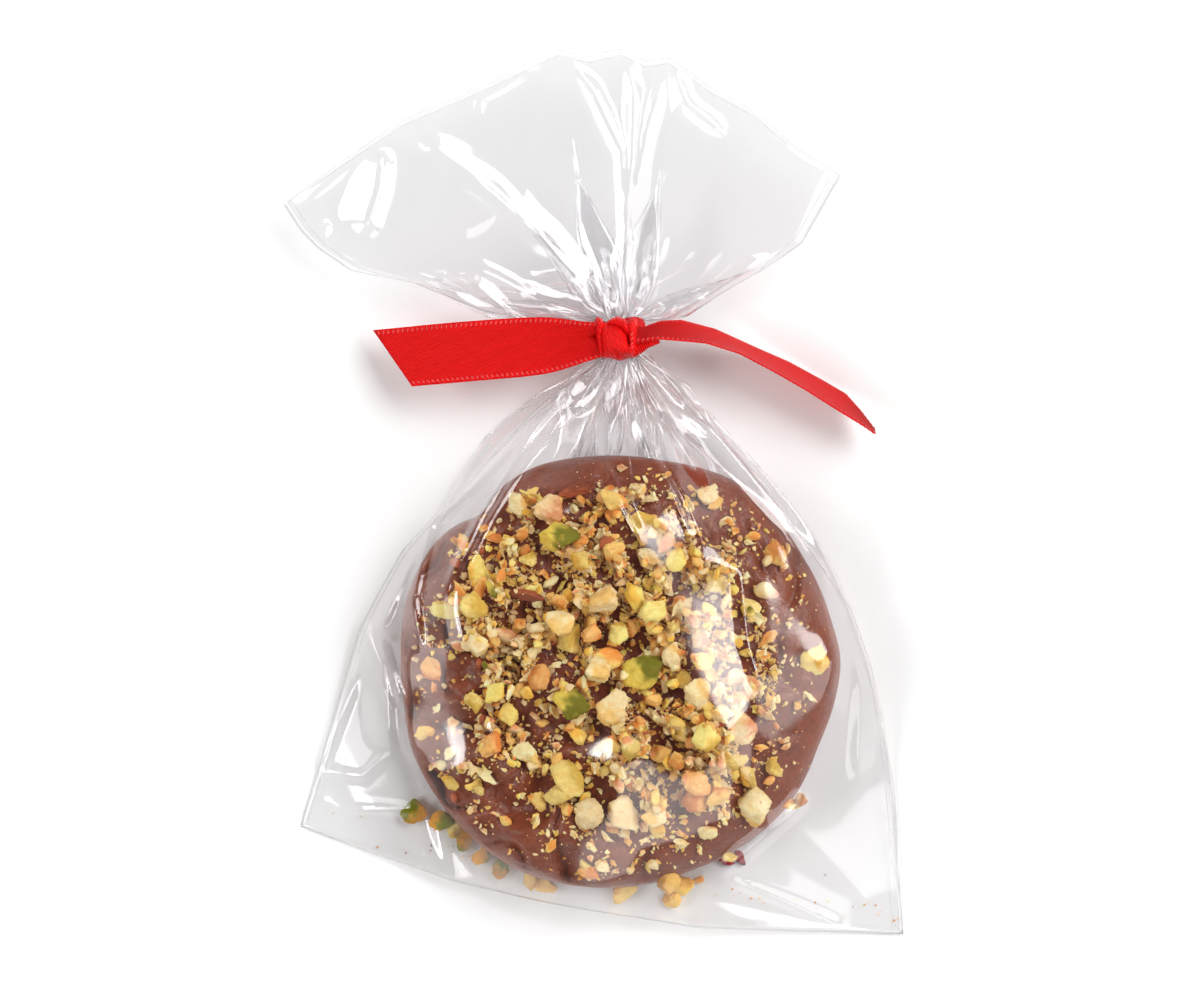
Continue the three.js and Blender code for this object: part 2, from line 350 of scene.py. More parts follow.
# %% Cookie outline and grooves
COOKIE_TOP = 13.4
COOKIE_WAIST = 4.6             # height where the cookie is widest
COOKIE_BOTTOM = 0.3
RIM = [                        # direction in degrees from +X, and radius in mm
    (3, 36.7), (14, 36.0), (33, 35.8), (47, 36.6), (60, 36.9), (79, 35.7), (96, 36.0), (113, 36.9),
    (124, 36.4), (131, 34.4), (138, 36.6), (145, 37.5), (160, 37.6), (175, 36.5), (187, 36.1),
    (200, 36.9), (216, 36.8), (243, 37.0), (265, 35.9), (290, 34.9), (305, 35.3), (323, 35.6), (340, 35.0),
]
GROOVES = [                    # each a line of pixels on the cookie, with its depth and width in mm
    ([(480, 512), (468, 530), (463, 548), (466, 575), (452, 600)], 1.0, 0.9),
    ([(436, 541), (448, 548), (462, 545)], 0.8, 0.8),
    ([(545, 463), (538, 478), (528, 492)], 0.5, 1.0),
    ([(795, 548), (796, 590), (786, 612), (776, 640), (780, 668)], 0.7, 0.7),
    ([(829, 622), (814, 640), (800, 655)], 0.6, 0.9),
    ([(735, 500), (750, 540), (768, 575)], 0.5, 0.8),
    ([(440, 752), (436, 768), (440, 790)], 1.0, 1.3),
    ([(520, 800), (505, 826), (500, 850)], 0.5, 1.5),
    ([(455, 672), (470, 668), (480, 690)], 0.5, 1.2),
    ([(405, 660), (414, 690), (412, 720)], 0.7, 0.9),
]
print("cookie: mean radius", round(np.mean([radius for _, radius in RIM]), 1), "mm,", len(GROOVES), "grooves")

# %% Cookie surface
lump_noise, fine_noise, dimple_noise = Noise(3), Noise(4), Noise(5)


def rim_radius(angle):
    """The cookie's radius in a direction, a little rounded where two measured directions meet."""
    degrees = np.array([a for a, _ in RIM], float)
    radii = np.array([r for _, r in RIM], float)
    wrapped = np.concatenate([degrees - 360, degrees, degrees + 360])
    t = np.degrees(angle) % 360
    return sum(np.interp(t + turn, wrapped, np.tile(radii, 3)) for turn in (-2.5, 0, 2.5)) / 3


def groove_depth(x, y):
    """How deep the grooves are at a spot, in mm."""
    total = np.zeros_like(x)
    for line, depth, width in GROOVES:
        nearest, _, _ = near_line(x, y, [place(px, py, COOKIE_TOP * 0.85) for px, py in line])
        total += 1.5 * depth * np.exp(-(nearest / width) ** 2)
    return total


def cookie_height(x, y):
    """The height of the chocolate's upper surface, and 0 outside the cookie."""
    x, y = np.broadcast_arrays(np.asarray(x, float), np.asarray(y, float))
    angle = np.arctan2(y, x)
    out = np.hypot(x, y) / rim_radius(angle)
    dome = COOKIE_WAIST + (COOKIE_TOP - COOKIE_WAIST) * np.sqrt(np.clip(1 - out ** 5.5, 0, 1))
    left = smoothstep(-x - 0.35 * y, -6, 24)
    lumps = (0.6 + 0.95 * left) * lump_noise(x / 8.5, y / 8.5)
    lumps = lumps + (0.6 + 1.3 * left) * fine_noise(x / 4.4, y / 4.4)
    dimples = 0.16 * dimple_noise(x / 1.3, y / 1.3)
    fold = fine_noise(x / 6.5 + 7, y / 6.5) / 0.11
    lumps = lumps - (0.5 + 1.2 * left) * np.exp(-fold ** 2) * smoothstep(out, 0.3, 0.7)
    inside = smoothstep(1 - out, 0, 0.05)
    height = dome + (lumps + dimples - groove_depth(x, y)) * inside
    return np.where(out < 1, height, 0.0)

# %% [markdown]
# The mesh follows from that height: rings of points from the middle out to the rim, then down and round
# under the waist, and a flat underside. A ring grid keeps the faces even along the rim, where it matters.

# %% Cookie rings
AROUND = 260
TOP_RINGS = 96
turn = np.linspace(0, 2 * math.pi, AROUND, endpoint=False)
rings = []
for share_out in 1 - (1 - np.linspace(0.004, 1, TOP_RINGS)) ** 1.6:
    radius = rim_radius(turn) * share_out * 0.9995
    x, y = radius * np.cos(turn), radius * np.sin(turn)
    rings.append(np.stack([x, y, cookie_height(x, y)], axis=1))
for step in np.linspace(0, 1, 14)[1:]:
    swing = step * math.pi / 2
    radius = rim_radius(turn) * (1 - 0.07 * (1 - math.cos(swing)))
    x, y = radius * np.cos(turn), radius * np.sin(turn)
    wobble = 0.35 * lump_noise(x / 5, y / 5, step * 2) * math.sin(math.pi * step)
    z = COOKIE_BOTTOM + (COOKIE_WAIST - COOKIE_BOTTOM) * (1 - math.sin(swing))
    rings.append(np.stack([x * (1 + wobble / 36), y * (1 + wobble / 36), np.full(AROUND, z)], axis=1))
for share_in in (0.75, 0.4, 0.02):
    radius = rim_radius(turn) * 0.93 * share_in
    flat_ring = [radius * np.cos(turn), radius * np.sin(turn), np.full(AROUND, COOKIE_BOTTOM)]
    rings.append(np.stack(flat_ring, axis=1))
print("cookie rings:", len(rings), "of", AROUND, "points")

# %% [markdown]
# Milk chocolate is a soft gloss over a brown that is a little uneven, and a little light goes into it and
# comes out again nearby. So its material is the uneven surface with some subsurface scattering.

# %% Chocolate and cookie piece
chocolate, chocolate_tree, chocolate_shader = new_material(
    "milk_chocolate", Roughness=0.36, Specular_IOR_Level=0.45, Subsurface_Weight=0.05)
chocolate_shader.inputs["Subsurface Radius"].default_value = (0.0012, 0.0006, 0.0004)
add_uneven(chocolate_tree, chocolate_shader, srgb(156, 80, 50), srgb(104, 48, 30), 5.0, 0.8, 1.0, 0.5, 0.5)
cookie_faces = [*grid_faces(len(rings), AROUND, closed=True).tolist(),
                list(range(AROUND))[::-1], list(range(AROUND * (len(rings) - 1), AROUND * len(rings)))]
cookie_faces = [face[::-1] for face in cookie_faces]
cookie = build_mesh("cookie", np.concatenate(rings), cookie_faces, chocolate)
print("cookie:", len(cookie_faces), "faces")

# %% [markdown]
# The topping is pistachios that went through a chopper: some sixty chunks as large as 7 mm, hundreds of
# small bits, and thousands of fine crumbs that cling to the chocolate. The pieces are dropped one by one
# onto a grid of heights. Each lands on what is below it and raises the grid, so they pile up as real ones
# do, and the same grid later tells the film where it touches.

# %% Height grid that pieces land on
CELL = 0.3
GRID_LOW = np.array([-62.0, -50.0])
GRID_SIZE = (400, 400)
grid_x = GRID_LOW[0] + CELL * np.arange(GRID_SIZE[0])
grid_y = GRID_LOW[1] + CELL * np.arange(GRID_SIZE[1])
ground = cookie_height(grid_x[None, :], grid_y[:, None])     # ground[row of y, column of x]
ground = np.maximum(ground, COOKIE_BOTTOM)


def land(x, y, reach, half_height, sink):
    """Drops a piece on the grid: gives the height of its middle and raises the grid under it."""
    i, j = int(round((x - GRID_LOW[0]) / CELL)), int(round((y - GRID_LOW[1]) / CELL))
    n = max(1, int(round(reach / CELL)))
    window = ground[j - n:j + n + 1, i - n:i + n + 1]
    dy, dx = np.mgrid[-n:n + 1, -n:n + 1] * CELL
    apart = (dx ** 2 + dy ** 2) / reach ** 2
    under = np.percentile(window[apart <= 1.0], 70)
    centre = under + half_height * (1 - sink)
    cap = centre + half_height * np.sqrt(np.clip(1 - apart, 0, 1))
    window[apart < 1] = np.maximum(window, cap)[apart < 1]
    return centre

print("height grid:", ground.shape, "cells of", CELL, "mm")

# %% [markdown]
# A nut breaks into flat faces with soft edges, so a piece is a ball cut by flat planes. What is left of a
# direction is the distance to the nearest plane, taken softly so that the edges aren't razor sharp, and a
# little noise makes the faces lumpy.

# %% Shapes of nut pieces
def ball(level):
    """The points and triangles of a ball made from an icosahedron."""
    shape = bmesh.new()
    bmesh.ops.create_icosphere(shape, subdivisions=level, radius=1.0)
    points = np.array([v.co[:] for v in shape.verts])
    faces = np.array([[v.index for v in f.verts] for f in shape.faces])
    shape.free()
    return points, faces


def turned(rng, flat=0.5):
    """A random turn that tends to keep a piece lying on its broad side."""
    spin, tip, roll = rng.uniform(0, 2 * math.pi), rng.normal(0, flat), rng.normal(0, flat)
    c, s = math.cos(spin), math.sin(spin)
    a = np.array([[c, -s, 0], [s, c, 0], [0, 0, 1]])
    c, s = math.cos(tip), math.sin(tip)
    b = np.array([[1, 0, 0], [0, c, -s], [0, s, c]])
    c, s = math.cos(roll), math.sin(roll)
    d = np.array([[c, 0, s], [0, 1, 0], [-s, 0, c]])
    return a @ b @ d


def broken(rng, points, cuts, sharp, rough, least, most):
    """A ball cut by flat planes, with edges that are a little soft and faces that are a little lumpy."""
    normals = rng.normal(size=(cuts, 3))
    normals /= np.linalg.norm(normals, axis=1)[:, None]
    depth = rng.uniform(least, most, cuts)
    facing = np.clip(points @ normals.T, 1e-6, None) / depth
    radius = (1 + (facing ** sharp).sum(axis=1)) ** (-1 / sharp)
    shape = points * radius[:, None]
    spot = rng.uniform(0, 200, 3)
    lumps = fine_noise(*(shape * 2.6 + spot).T) + 0.5 * fine_noise(*(shape * 6.5 + spot).T)
    return shape * (1 + rough * (lumps + rng.normal(0, 0.35, len(points))))[:, None]

# %% [markdown]
# The colour of a nut piece depends on the side: cream or yellow where it was cut, green or pinkish brown
# where the skin was. Each point of the mesh carries its own colour, so no picture is needed.

# %% Colours of nut pieces
KINDS = {                      # cut face, outside, and how much of the piece the outside covers
    "cream": (srgb(255, 238, 192), srgb(250, 212, 134), 0.35),
    "yellow": (srgb(255, 228, 136), srgb(246, 198, 86), 0.4),
    "gold": (srgb(254, 210, 128), srgb(234, 158, 80), 0.4),
    "lime": (srgb(251, 230, 148), srgb(222, 190, 92), 0.45),
    "green": (srgb(226, 206, 96), srgb(120, 120, 34), 0.5),
    "orange": (srgb(247, 192, 122), srgb(224, 144, 74), 0.45),
    "skin": (srgb(190, 108, 76), srgb(140, 76, 54), 0.6),
    "blush": (srgb(254, 224, 176), srgb(226, 160, 116), 0.4),
    "olive": (srgb(226, 160, 0), srgb(128, 140, 0), 0.5),
    "amber": (srgb(250, 206, 110), srgb(206, 150, 60), 0.45),
    "red": (srgb(150, 20, 34), srgb(100, 10, 24), 0.5),
}
print("kinds of nut:", *KINDS)


def tint(rng, kind, directions):
    """A colour for each point of a piece: its cut faces and its outside, a little uneven."""
    cut, outside, cover = KINDS[kind]
    side = rng.normal(size=3)
    side /= np.linalg.norm(side)
    uneven_side = directions @ side + 0.5 * fine_noise(*(2.6 * directions + 40 * side).T)
    amount = smoothstep(uneven_side, 0.8 - 2 * cover, 1.7 - 2 * cover)[:, None]
    color = np.array(cut[:3]) * (1 - amount) + np.array(outside[:3]) * amount
    return np.clip(color * rng.uniform(0.84, 1.2) * rng.uniform(0.95, 1.05, (len(directions), 1)), 0, 1)

# %% [markdown]
# Thousands of separate objects would be slow, so each kind of topping is one mesh. A batch collects the
# points, faces and colours of its pieces as they drop, and makes the mesh at the end.

# %% Batches of pieces
class Batch:
    """Many pieces of one kind of topping, joined into one mesh."""

    def __init__(self, level):
        self.ball, self.ball_faces = ball(level)
        self.points, self.faces, self.colors = [], [], []

    def drop(self, rng, x, y, axes, kind, cuts=8, sink=0.3, flat=0.45, sharp=50, rough=0.2, least=0.42,
             most=0.9, full_size=False):
        shape = broken(rng, self.ball, cuts, sharp, rough, least, most)
        if full_size:
            shape = shape / (np.ptp(shape, axis=0) / 2)
        turned_shape = (shape * np.array(axes)) @ turned(rng, flat).T
        half = (turned_shape[:, 2].max() - turned_shape[:, 2].min()) / 2
        reach = 0.85 * np.abs(turned_shape[:, :2]).max()
        z = land(x, y, reach, half, sink)
        self.faces.append(self.ball_faces + len(self.ball) * len(self.points))
        self.points.append(turned_shape + (x, y, z))
        self.colors.append(tint(rng, kind, self.ball))

    def make(self, name, material, smooth=False):
        return build_mesh(name, np.concatenate(self.points), np.concatenate(self.faces), material, smooth,
                          np.concatenate(self.colors))

# %% [markdown]
# Where the topping lies: thick over an uneven round patch in the middle, thinner towards the lower left
# and the right rim. A small function gives that share for any spot, and random spots are kept or dropped
# by it.

# %% Spread of the topping
spread_noise, clump_noise = Noise(11), Noise(12)
PATCH_MIDDLE = place(600, 655, COOKIE_TOP)
PATCH_RADIUS = 28.5


def cover_share(x, y):
    """How much of the chocolate is covered here, 0 to 1."""
    dx, dy = x - PATCH_MIDDLE[0], y - PATCH_MIDDLE[1]
    away = np.hypot(dx, dy * 0.92)
    edge = PATCH_RADIUS + 3.5 * spread_noise(x / 9, y / 9)
    lower_left = smoothstep(-dx - dy, 14, 34)
    dense = 1 - smoothstep(away, edge - 6, edge + 2)
    thin = 0.16 * (1 - smoothstep(away, 31, 37))
    return np.clip(dense * (1 - 0.6 * lower_left), thin, 1)


def scatter(rng, count, clumps):
    """Random spots on the cookie, in mm, thick where the topping is and where small pieces clump."""
    spots = []
    while len(spots) < count:
        x, y = rng.uniform(-34, 34, 2)
        if x * x + y * y > 34.5 ** 2:
            continue
        chance = cover_share(x, y)
        chance *= 1 - clumps + clumps * smoothstep(clump_noise(x / 3.0, y / 3.0), -0.4, 0.4)
        if rng.uniform() < chance:
            spots.append((x, y))
    return spots


def pick(rng, kinds):
    """One kind of nut, drawn by the weights of the kinds."""
    names = list(kinds)
    weights = np.array([kinds[k] for k in names], float)
    return names[rng.choice(len(names), p=weights / weights.sum())]


print("share covered in the middle:", float(cover_share(*PATCH_MIDDLE)))

# %% [markdown]
# Nut is duller than chocolate and lets a little light in. One material serves every piece, because the
# colour comes from the mesh; the uneven surface only darkens it here and there.

# %% Nut material
nut, nut_tree, nut_shader = new_material(
    "nut", Roughness=0.7, Specular_IOR_Level=0.2, Subsurface_Weight=0.12)
nut_shader.inputs["Subsurface Radius"].default_value = (0.0010, 0.0007, 0.0003)
tint_color = add(nut_tree, "ShaderNodeAttribute", attribute_name="tint")
darker = add(nut_tree, "ShaderNodeMix", {0: 1.0, 6: tint_color.outputs["Color"], 7: (0.90, 0.74, 0.52, 1.0)},
             data_type="RGBA", blend_type="MULTIPLY")
add_uneven(nut_tree, nut_shader, tint_color.outputs["Color"], darker.outputs[2], 1.3, 0.35, 1.5, 0.4, 0.15)
print("nut material:", len(nut_tree.nodes), "nodes")

# %% [markdown]
# The small pieces are strewn at random in three sizes, the finest first, so that the larger ones lie on
# top as they do in the photo. A random generator with a fixed seed gives the same cookie on every run.

# %% Crumbs, flakes and bits
rng = np.random.default_rng(21)


def strew(batch, count, clumps, size_mm, spread, shortest, longest, kinds, **shape):
    """Drops many pieces of about one size. shortest and longest are its axes, as shares of that size."""
    for x, y in scatter(rng, count, clumps):
        size = rng.lognormal(math.log(size_mm), spread)
        kind = pick(rng, kinds)
        batch.drop(rng, x, y, size * rng.uniform(shortest, longest), kind, **shape)
    print("strewn:", count, "pieces of about", size_mm, "mm")


crumbs, flakes, bits = Batch(1), Batch(2), Batch(3)
strew(crumbs, 6600, 0.9, 0.30, 0.40, (0.9, 0.6, 0.35), (1.7, 1.2, 0.7),
      {"cream": 10, "yellow": 2.5, "gold": 4, "blush": 2.5, "orange": 0.8, "lime": 0.8, "skin": 0.3},
      cuts=4, sink=0.2, flat=0.5, sharp=12, rough=0.42)
strew(flakes, 1000, 0.8, 0.58, 0.30, (0.9, 0.6, 0.3), (1.7, 1.1, 0.6),
      {"cream": 8, "yellow": 3, "gold": 5, "blush": 2, "orange": 1, "lime": 1.2, "skin": 0.4},
      cuts=5, sink=0.15, flat=0.5, sharp=14, rough=0.55, least=0.5)
strew(bits, 300, 0.5, 0.88, 0.32, (0.9, 0.65, 0.4), (1.5, 1.1, 0.85),
      {"cream": 6, "yellow": 4, "gold": 4, "lime": 2.5, "orange": 1.0, "blush": 1.5, "green": 0.4,
       "skin": 0.5},
      cuts=7, sink=0.2, sharp=160, rough=0.09, least=0.4)

# %% [markdown]
# The largest chunks are what the eye counts, so each is placed one by one where the photo shows it: its
# pixel, its length and width in millimetres, and its kind.

# %% Large chunks
CHUNKS = [
    (752, 810, 6.4, 5.8, "cream"), (590, 814, 5.4, 5.0, "cream"), (621, 815, 6.2, 5.6, "cream"),
    (655, 817, 4.4, 3.4, "cream"), (644, 668, 7.4, 6.0, "green"), (569, 701, 6.2, 5.0, "green"),
    (568, 778, 5.8, 6.6, "lime"), (557, 797, 4.6, 4.0, "lime"), (614, 708, 6.4, 5.2, "cream"),
    (594, 670, 4.6, 4.6, "cream"), (600, 599, 4.8, 5.0, "cream"), (479, 646, 4.4, 4.2, "cream"),
    (476, 605, 4.8, 4.6, "lime"), (443, 608, 5.6, 3.0, "lime"), (480, 570, 3.6, 5.6, "yellow"),
    (516, 503, 3.8, 3.8, "cream"), (551, 509, 5.2, 5.4, "blush"), (558, 538, 6.8, 5.0, "green"),
    (613, 500, 5.0, 3.4, "gold"), (641, 520, 4.2, 4.0, "lime"), (815, 660, 5.2, 4.6, "yellow"),
    (745, 726, 5.0, 5.8, "blush"), (697, 693, 4.6, 5.4, "cream"), (707, 734, 4.6, 4.6, "lime"),
    (749, 776, 4.4, 3.0, "yellow"), (733, 760, 4.4, 3.0, "lime"), (528, 754, 3.4, 4.8, "cream"),
    (497, 691, 3.4, 4.4, "yellow"), (474, 703, 3.8, 3.4, "lime"), (540, 677, 4.0, 4.4, "orange"),
    (490, 745, 4.0, 4.2, "orange"), (695, 783, 4.2, 4.8, "orange"), (697, 803, 4.4, 3.8, "orange"),
    (557, 620, 5.0, 4.2, "cream"), (568, 641, 5.2, 4.6, "lime"), (620, 632, 3.8, 3.6, "lime"),
    (635, 594, 5.2, 3.2, "yellow"), (652, 608, 4.4, 4.4, "lime"), (716, 583, 3.8, 3.8, "lime"),
    (677, 560, 3.6, 4.0, "yellow"), (733, 677, 2.8, 3.4, "blush"), (508, 716, 3.4, 3.6, "yellow"),
    (538, 800, 3.6, 3.6, "gold"), (613, 552, 3.8, 3.0, "gold"), (583, 560, 3.6, 3.0, "yellow"),
    (528, 559, 2.6, 2.8, "lime"), (591, 633, 3.0, 3.4, "orange"), (633, 627, 3.0, 3.2, "orange"),
    (708, 495, 3.2, 3.4, "cream"), (776, 553, 4.0, 4.4, "gold"), (661, 753, 3.0, 3.6, "gold"),
    (676, 760, 3.4, 2.6, "gold"), (774, 770, 2.6, 3.0, "lime"), (716, 795, 4.0, 3.4, "gold"),
    (590, 874, 3.2, 3.0, "orange"), (604, 867, 2.2, 2.4, "cream"), (449, 785, 2.4, 3.4, "yellow"),
    (527, 596, 6.0, 2.0, "skin"), (572, 490, 5.6, 2.8, "skin"), (430, 668, 3.6, 4.0, "orange"),
    (610, 745, 3.6, 3.2, "gold"), (578, 735, 3.4, 2.6, "yellow"), (652, 700, 3.2, 2.8, "gold"),
    (672, 655, 3.8, 3.4, "cream"), (700, 640, 3.2, 3.0, "blush"), (560, 600, 3.0, 2.6, "gold"),
]
rng = np.random.default_rng(33)
chunks = Batch(4)
for px, py, length, width, kind in CHUNKS:
    x, y = place(px, py, COOKIE_TOP + 2.5)
    thick = rng.uniform(0.62, 0.85) * min(length, width)
    chunks.drop(rng, x, y, (length / 2, width / 2, thick / 2), kind, cuts=9, sink=0.25, flat=0.18,
                sharp=200, rough=0.10, least=0.42, most=0.74, full_size=True)
print("chunks:", len(chunks.points))

# %% [markdown]
# Some pieces have fallen off and lie in the bag beyond the cookie's lower edge, with fine dust along the
# bottom fold.

# %% Loose pieces in the bag
LOOSE = [
    (414, 811, 4.6, 4.4, "olive"), (441, 822, 3.8, 4.6, "olive"), (455, 830, 3.4, 2.8, "lime"),
    (463, 840, 4.0, 3.0, "olive"), (481, 856, 3.4, 3.4, "olive"), (502, 868, 4.0, 3.0, "olive"),
    (530, 880, 4.0, 2.6, "amber"), (545, 886, 4.2, 3.0, "amber"), (624, 892, 4.8, 3.4, "amber"),
    (668, 880, 4.4, 4.0, "amber"), (682, 886, 4.6, 4.6, "amber"), (672, 900, 3.2, 3.0, "amber"),
    (726, 861, 3.0, 1.8, "red"), (740, 858, 3.2, 1.8, "red"), (790, 802, 3.6, 1.8, "gold"),
    (800, 797, 2.4, 2.2, "blush"), (728, 855, 3.4, 1.8, "lime"), (700, 880, 2.0, 1.4, "gold"),
]
rng = np.random.default_rng(34)
loose = Batch(4)
for px, py, length, width, kind in LOOSE:
    x, y = place(px, py, 2.0)
    thick = 0.6 * min(length, width)
    loose.drop(rng, x, y, (length / 2, width / 2, thick / 2), kind, cuts=10, sink=0.02, flat=0.12, sharp=50,
               rough=0.09, least=0.55)
print("loose pieces:", len(loose.points))

# %% Dust
dust = Batch(1)
for _ in range(70):
    along_fold = rng.uniform(0, 1)
    px = 330 + 570 * along_fold
    py = 838 + 85 * along_fold ** 0.8 - abs(rng.normal(0, 14))
    x, y = place(px, py)
    if math.hypot(x, y) < 38:
        continue
    size = rng.uniform(0.12, 0.3)
    kind = pick(rng, {"cream": 2, "gold": 2, "orange": 2, "skin": 1})
    dust.drop(rng, x, y, (size, size * 0.8, size * 0.6), kind, cuts=4, sink=0.0)
for _ in range(420):
    angle, radius = rng.uniform(0, 2 * math.pi), rng.uniform(20, 35)
    size = rng.uniform(0.07, 0.22)
    dust.drop(rng, radius * math.cos(angle), radius * math.sin(angle), (size, size, size * 0.7),
              pick(rng, {"cream": 3, "blush": 2}), cuts=4, sink=0.2)
print("dust:", len(dust.points))

# %% Topping meshes
pieces_inside = [
    crumbs.make("nut_crumbs", nut), flakes.make("nut_flakes", nut), bits.make("nut_bits", nut, True),
    chunks.make("nut_chunks", nut, True),
    loose.make("loose_pieces", nut, True), dust.make("nut_dust", nut),
]
print("triangles of nuts:", sum(len(p.data.polygons) for p in pieces_inside))

# %% [markdown]
# The bag is one flat tube of thin film, 102 mm wide and 153 mm long, shut at the bottom. It is solved as
# a net of small cells, one layer in front and one behind, that share their side folds and bottom fold.
# Each cell edge wants to keep its length, because film doesn't stretch; the outline is held where the
# photo shows it; and no point may go into the cookie, the nuts or the table. Repeating those three rules
# many times lets the spare film find its own creases. The work is done twice, first on a coarse net that
# finds the large folds quickly and then on a fine one.

# %% The bag's outline, where it is held
BAG_WIDTH = 102.0
NECK = np.array([0.0, 55.4, 7.4])
NECK_RADIUS = 3.1
TIE_HALF = 2.6                 # the ribbon holds the film over this half length
FRONT_SLACK = 1.4              # the front layer goes over the cookie, so its mouth ends lower by this
LENGTH_SPARE = 1.002           # film along the bag, against the straight way
FAN_MIDDLE, FAN_TIP = 10.0, 6.0        # heights of the mouth above the table
SIDES_AT, BOTTOM_AT, MOUTH_AT = 2.0, 0.5, 8.0      # heights at which the held lines were read off
POUCH_LENGTH, FAN_LENGTH = 96.0, 48.0  # film below and above the tie, in mm
LEFT_SIDE = [(598, 353), (533, 413), (461, 490), (402, 551), (359, 629), (339, 695), (317, 771), (300, 827)]
RIGHT_SIDE = [(640, 353), (664, 372), (740, 460), (807, 549), (849, 607), (872, 671), (885, 733), (895, 815),
              (904, 935)]
FAN_LEFT = [(598, 322), (489, 314), (414, 284), (353, 272), (320, 250), (303, 233), (285, 206)]
FAN_RIGHT = [(640, 322), (686, 318), (725, 292), (762, 271), (801, 245), (829, 195), (840, 177)]
BOTTOM = [(300, 827), (362, 850), (456, 881), (551, 901), (698, 927), (790, 931), (904, 935)]
MOUTH = [(285, 206), (342, 163), (399, 122), (477, 87), (556, 49), (589, 56), (620, 48), (646, 61), (669, 57),
         (713, 88), (759, 114), (797, 150), (840, 177)]

# %% [markdown]
# The held lines give the place of every edge point. Between the left and the right edge the net starts
# as straight rows that run from the tie to the far edge, bent so that they meet both sides.

# %% The flat net
def along_line(pixels, shares, height):
    """Points at shares, 0 to 1, of the length of a line of pixels."""
    line = np.array([place(px, py, height) for px, py in pixels])
    run = np.r_[0, np.cumsum(np.hypot(*np.diff(line, axis=0).T))]
    at = np.asarray(shares) * run[-1]
    return np.stack([np.interp(at, run, line[:, 0]), np.interp(at, run, line[:, 1])], axis=-1)


def net_lines(columns, rows):
    """Where the net lies before it has pleats. rows are those of the pouch, of the tie and of the fan.

    Gives x and y by layer, row and column, and how far past the tie each row is.
    """
    share = np.linspace(0, 1, columns + 1)
    across = 2 * share - 1
    middle = np.sqrt(1 - across ** 2)
    down = np.linspace(1, 0, rows[0] + 1)[:-1, None]
    up = np.linspace(0, 1, rows[2] + 1)[1:, None]
    in_tie = np.linspace(-TIE_HALF, TIE_HALF, rows[1] + 1)[:, None]
    flat = np.zeros((2, sum(rows) + 1, columns + 1, 2))
    for layer, slack in ((0, FRONT_SLACK), (1, 0.0)):
        sections = []
        for amount, pixels, height, sides, way in ((down, BOTTOM, BOTTOM_AT, (LEFT_SIDE, RIGHT_SIDE), -1),
                                                   (up, MOUTH, MOUTH_AT, (FAN_LEFT, FAN_RIGHT), 1)):
            start = np.stack([NECK_RADIUS * across, np.full_like(across, NECK[1] + way * TIE_HALF)], axis=1)
            reach = along_line(pixels, share, height) - start
            bow = 0.0
            for side, column, line in ((-1, 0, sides[0]), (1, -1, sides[1])):
                away = along_line(line, amount, SIDES_AT) - start[column] - reach[column] * amount[..., None]
                bow = bow + away * (np.clip(side * across, 0, 1) ** 2.5)[:, None]
            if way > 0:
                reach = reach * (1 - slack * middle / np.hypot(*reach.T))[:, None]
            sections.append(start + reach * amount[..., None] + bow)
        neck = np.stack(np.broadcast_arrays(NECK_RADIUS * across, NECK[1] + in_tie), axis=-1)
        flat[layer] = np.concatenate([sections[0], neck, sections[1]])
    past = np.concatenate([-TIE_HALF - down * POUCH_LENGTH, in_tie, TIE_HALF + up * FAN_LENGTH])
    return share, flat, past

# %% [markdown]
# Film is too stiff to sink between small pieces: it rides on a smooth cover and touches the highest ones.
# The cover is the grid of heights with its small hollows filled: every cell takes the highest value near
# it, which widens the heap, and then the lowest near it, which takes the widening back.

# %% What the film rests on
def widen(heights, cells):
    """Each cell takes the highest height near it. With the signs turned it takes the lowest."""
    wide = heights.copy()
    for dy in range(-cells, cells + 1):
        for dx in range(-cells, cells + 1):
            if dx * dx + dy * dy <= cells * cells:
                wide = np.maximum(wide, np.roll(heights, (dy, dx), (0, 1)))
    return wide


def blur(heights, cells):
    """Each cell takes the mean of the square of cells round it."""
    for axis in (0, 1):
        heights = sum(np.roll(heights, k, axis) for k in range(-cells, cells + 1)) / (2 * cells + 1)
    return heights


film_ground = blur(blur(-widen(-widen(ground, 30), 17), 10), 9)


def film_floor(x, y):
    """The lowest height that the front layer may have at x and y, read off the grid between its cells."""
    fx = np.clip((x - GRID_LOW[0]) / CELL, 0, GRID_SIZE[0] - 2)
    fy = np.clip((y - GRID_LOW[1]) / CELL, 0, GRID_SIZE[1] - 2)
    i, j = fx.astype(int), fy.astype(int)
    tx, ty = fx - i, fy - j
    low = film_ground[j, i] * (1 - tx) + film_ground[j, i + 1] * tx
    high = film_ground[j + 1, i] * (1 - tx) + film_ground[j + 1, i + 1] * tx
    return low * (1 - ty) + high * ty


print("cover over the food, top in mm:", round(float(film_ground.max()), 1))

# %% [markdown]
# A flat bag gathered into a thin neck has far too much width there, and the spare width goes into pleats.
# How high a pleat has to be follows from Pythagoras: half a pleat is the long side of a triangle whose
# short side is the width that is left. So the start shape already has pleats of the right height, highest
# at the tie and gone where the bag is as wide as its film. Their widths are uneven, as a hand makes them.

# %% Pleats
PLEATS = 18
rng = np.random.default_rng(8)
pleat_middles = (np.arange(PLEATS) + 0.5) / PLEATS * 2 - 1
pleat_widths = (0.55 + np.sqrt(1 - pleat_middles ** 2)) * rng.uniform(0.55, 1.6, PLEATS)
pleat_edges = np.r_[0, np.cumsum(pleat_widths) / pleat_widths.sum()]


def zigzag(share):
    """-1 to 1: how far up its pleat a point is, for its share of the width."""
    phase = np.interp(share, pleat_edges, np.arange(PLEATS + 1))
    return 1 - 4 * np.abs((phase % 1) - 0.5)


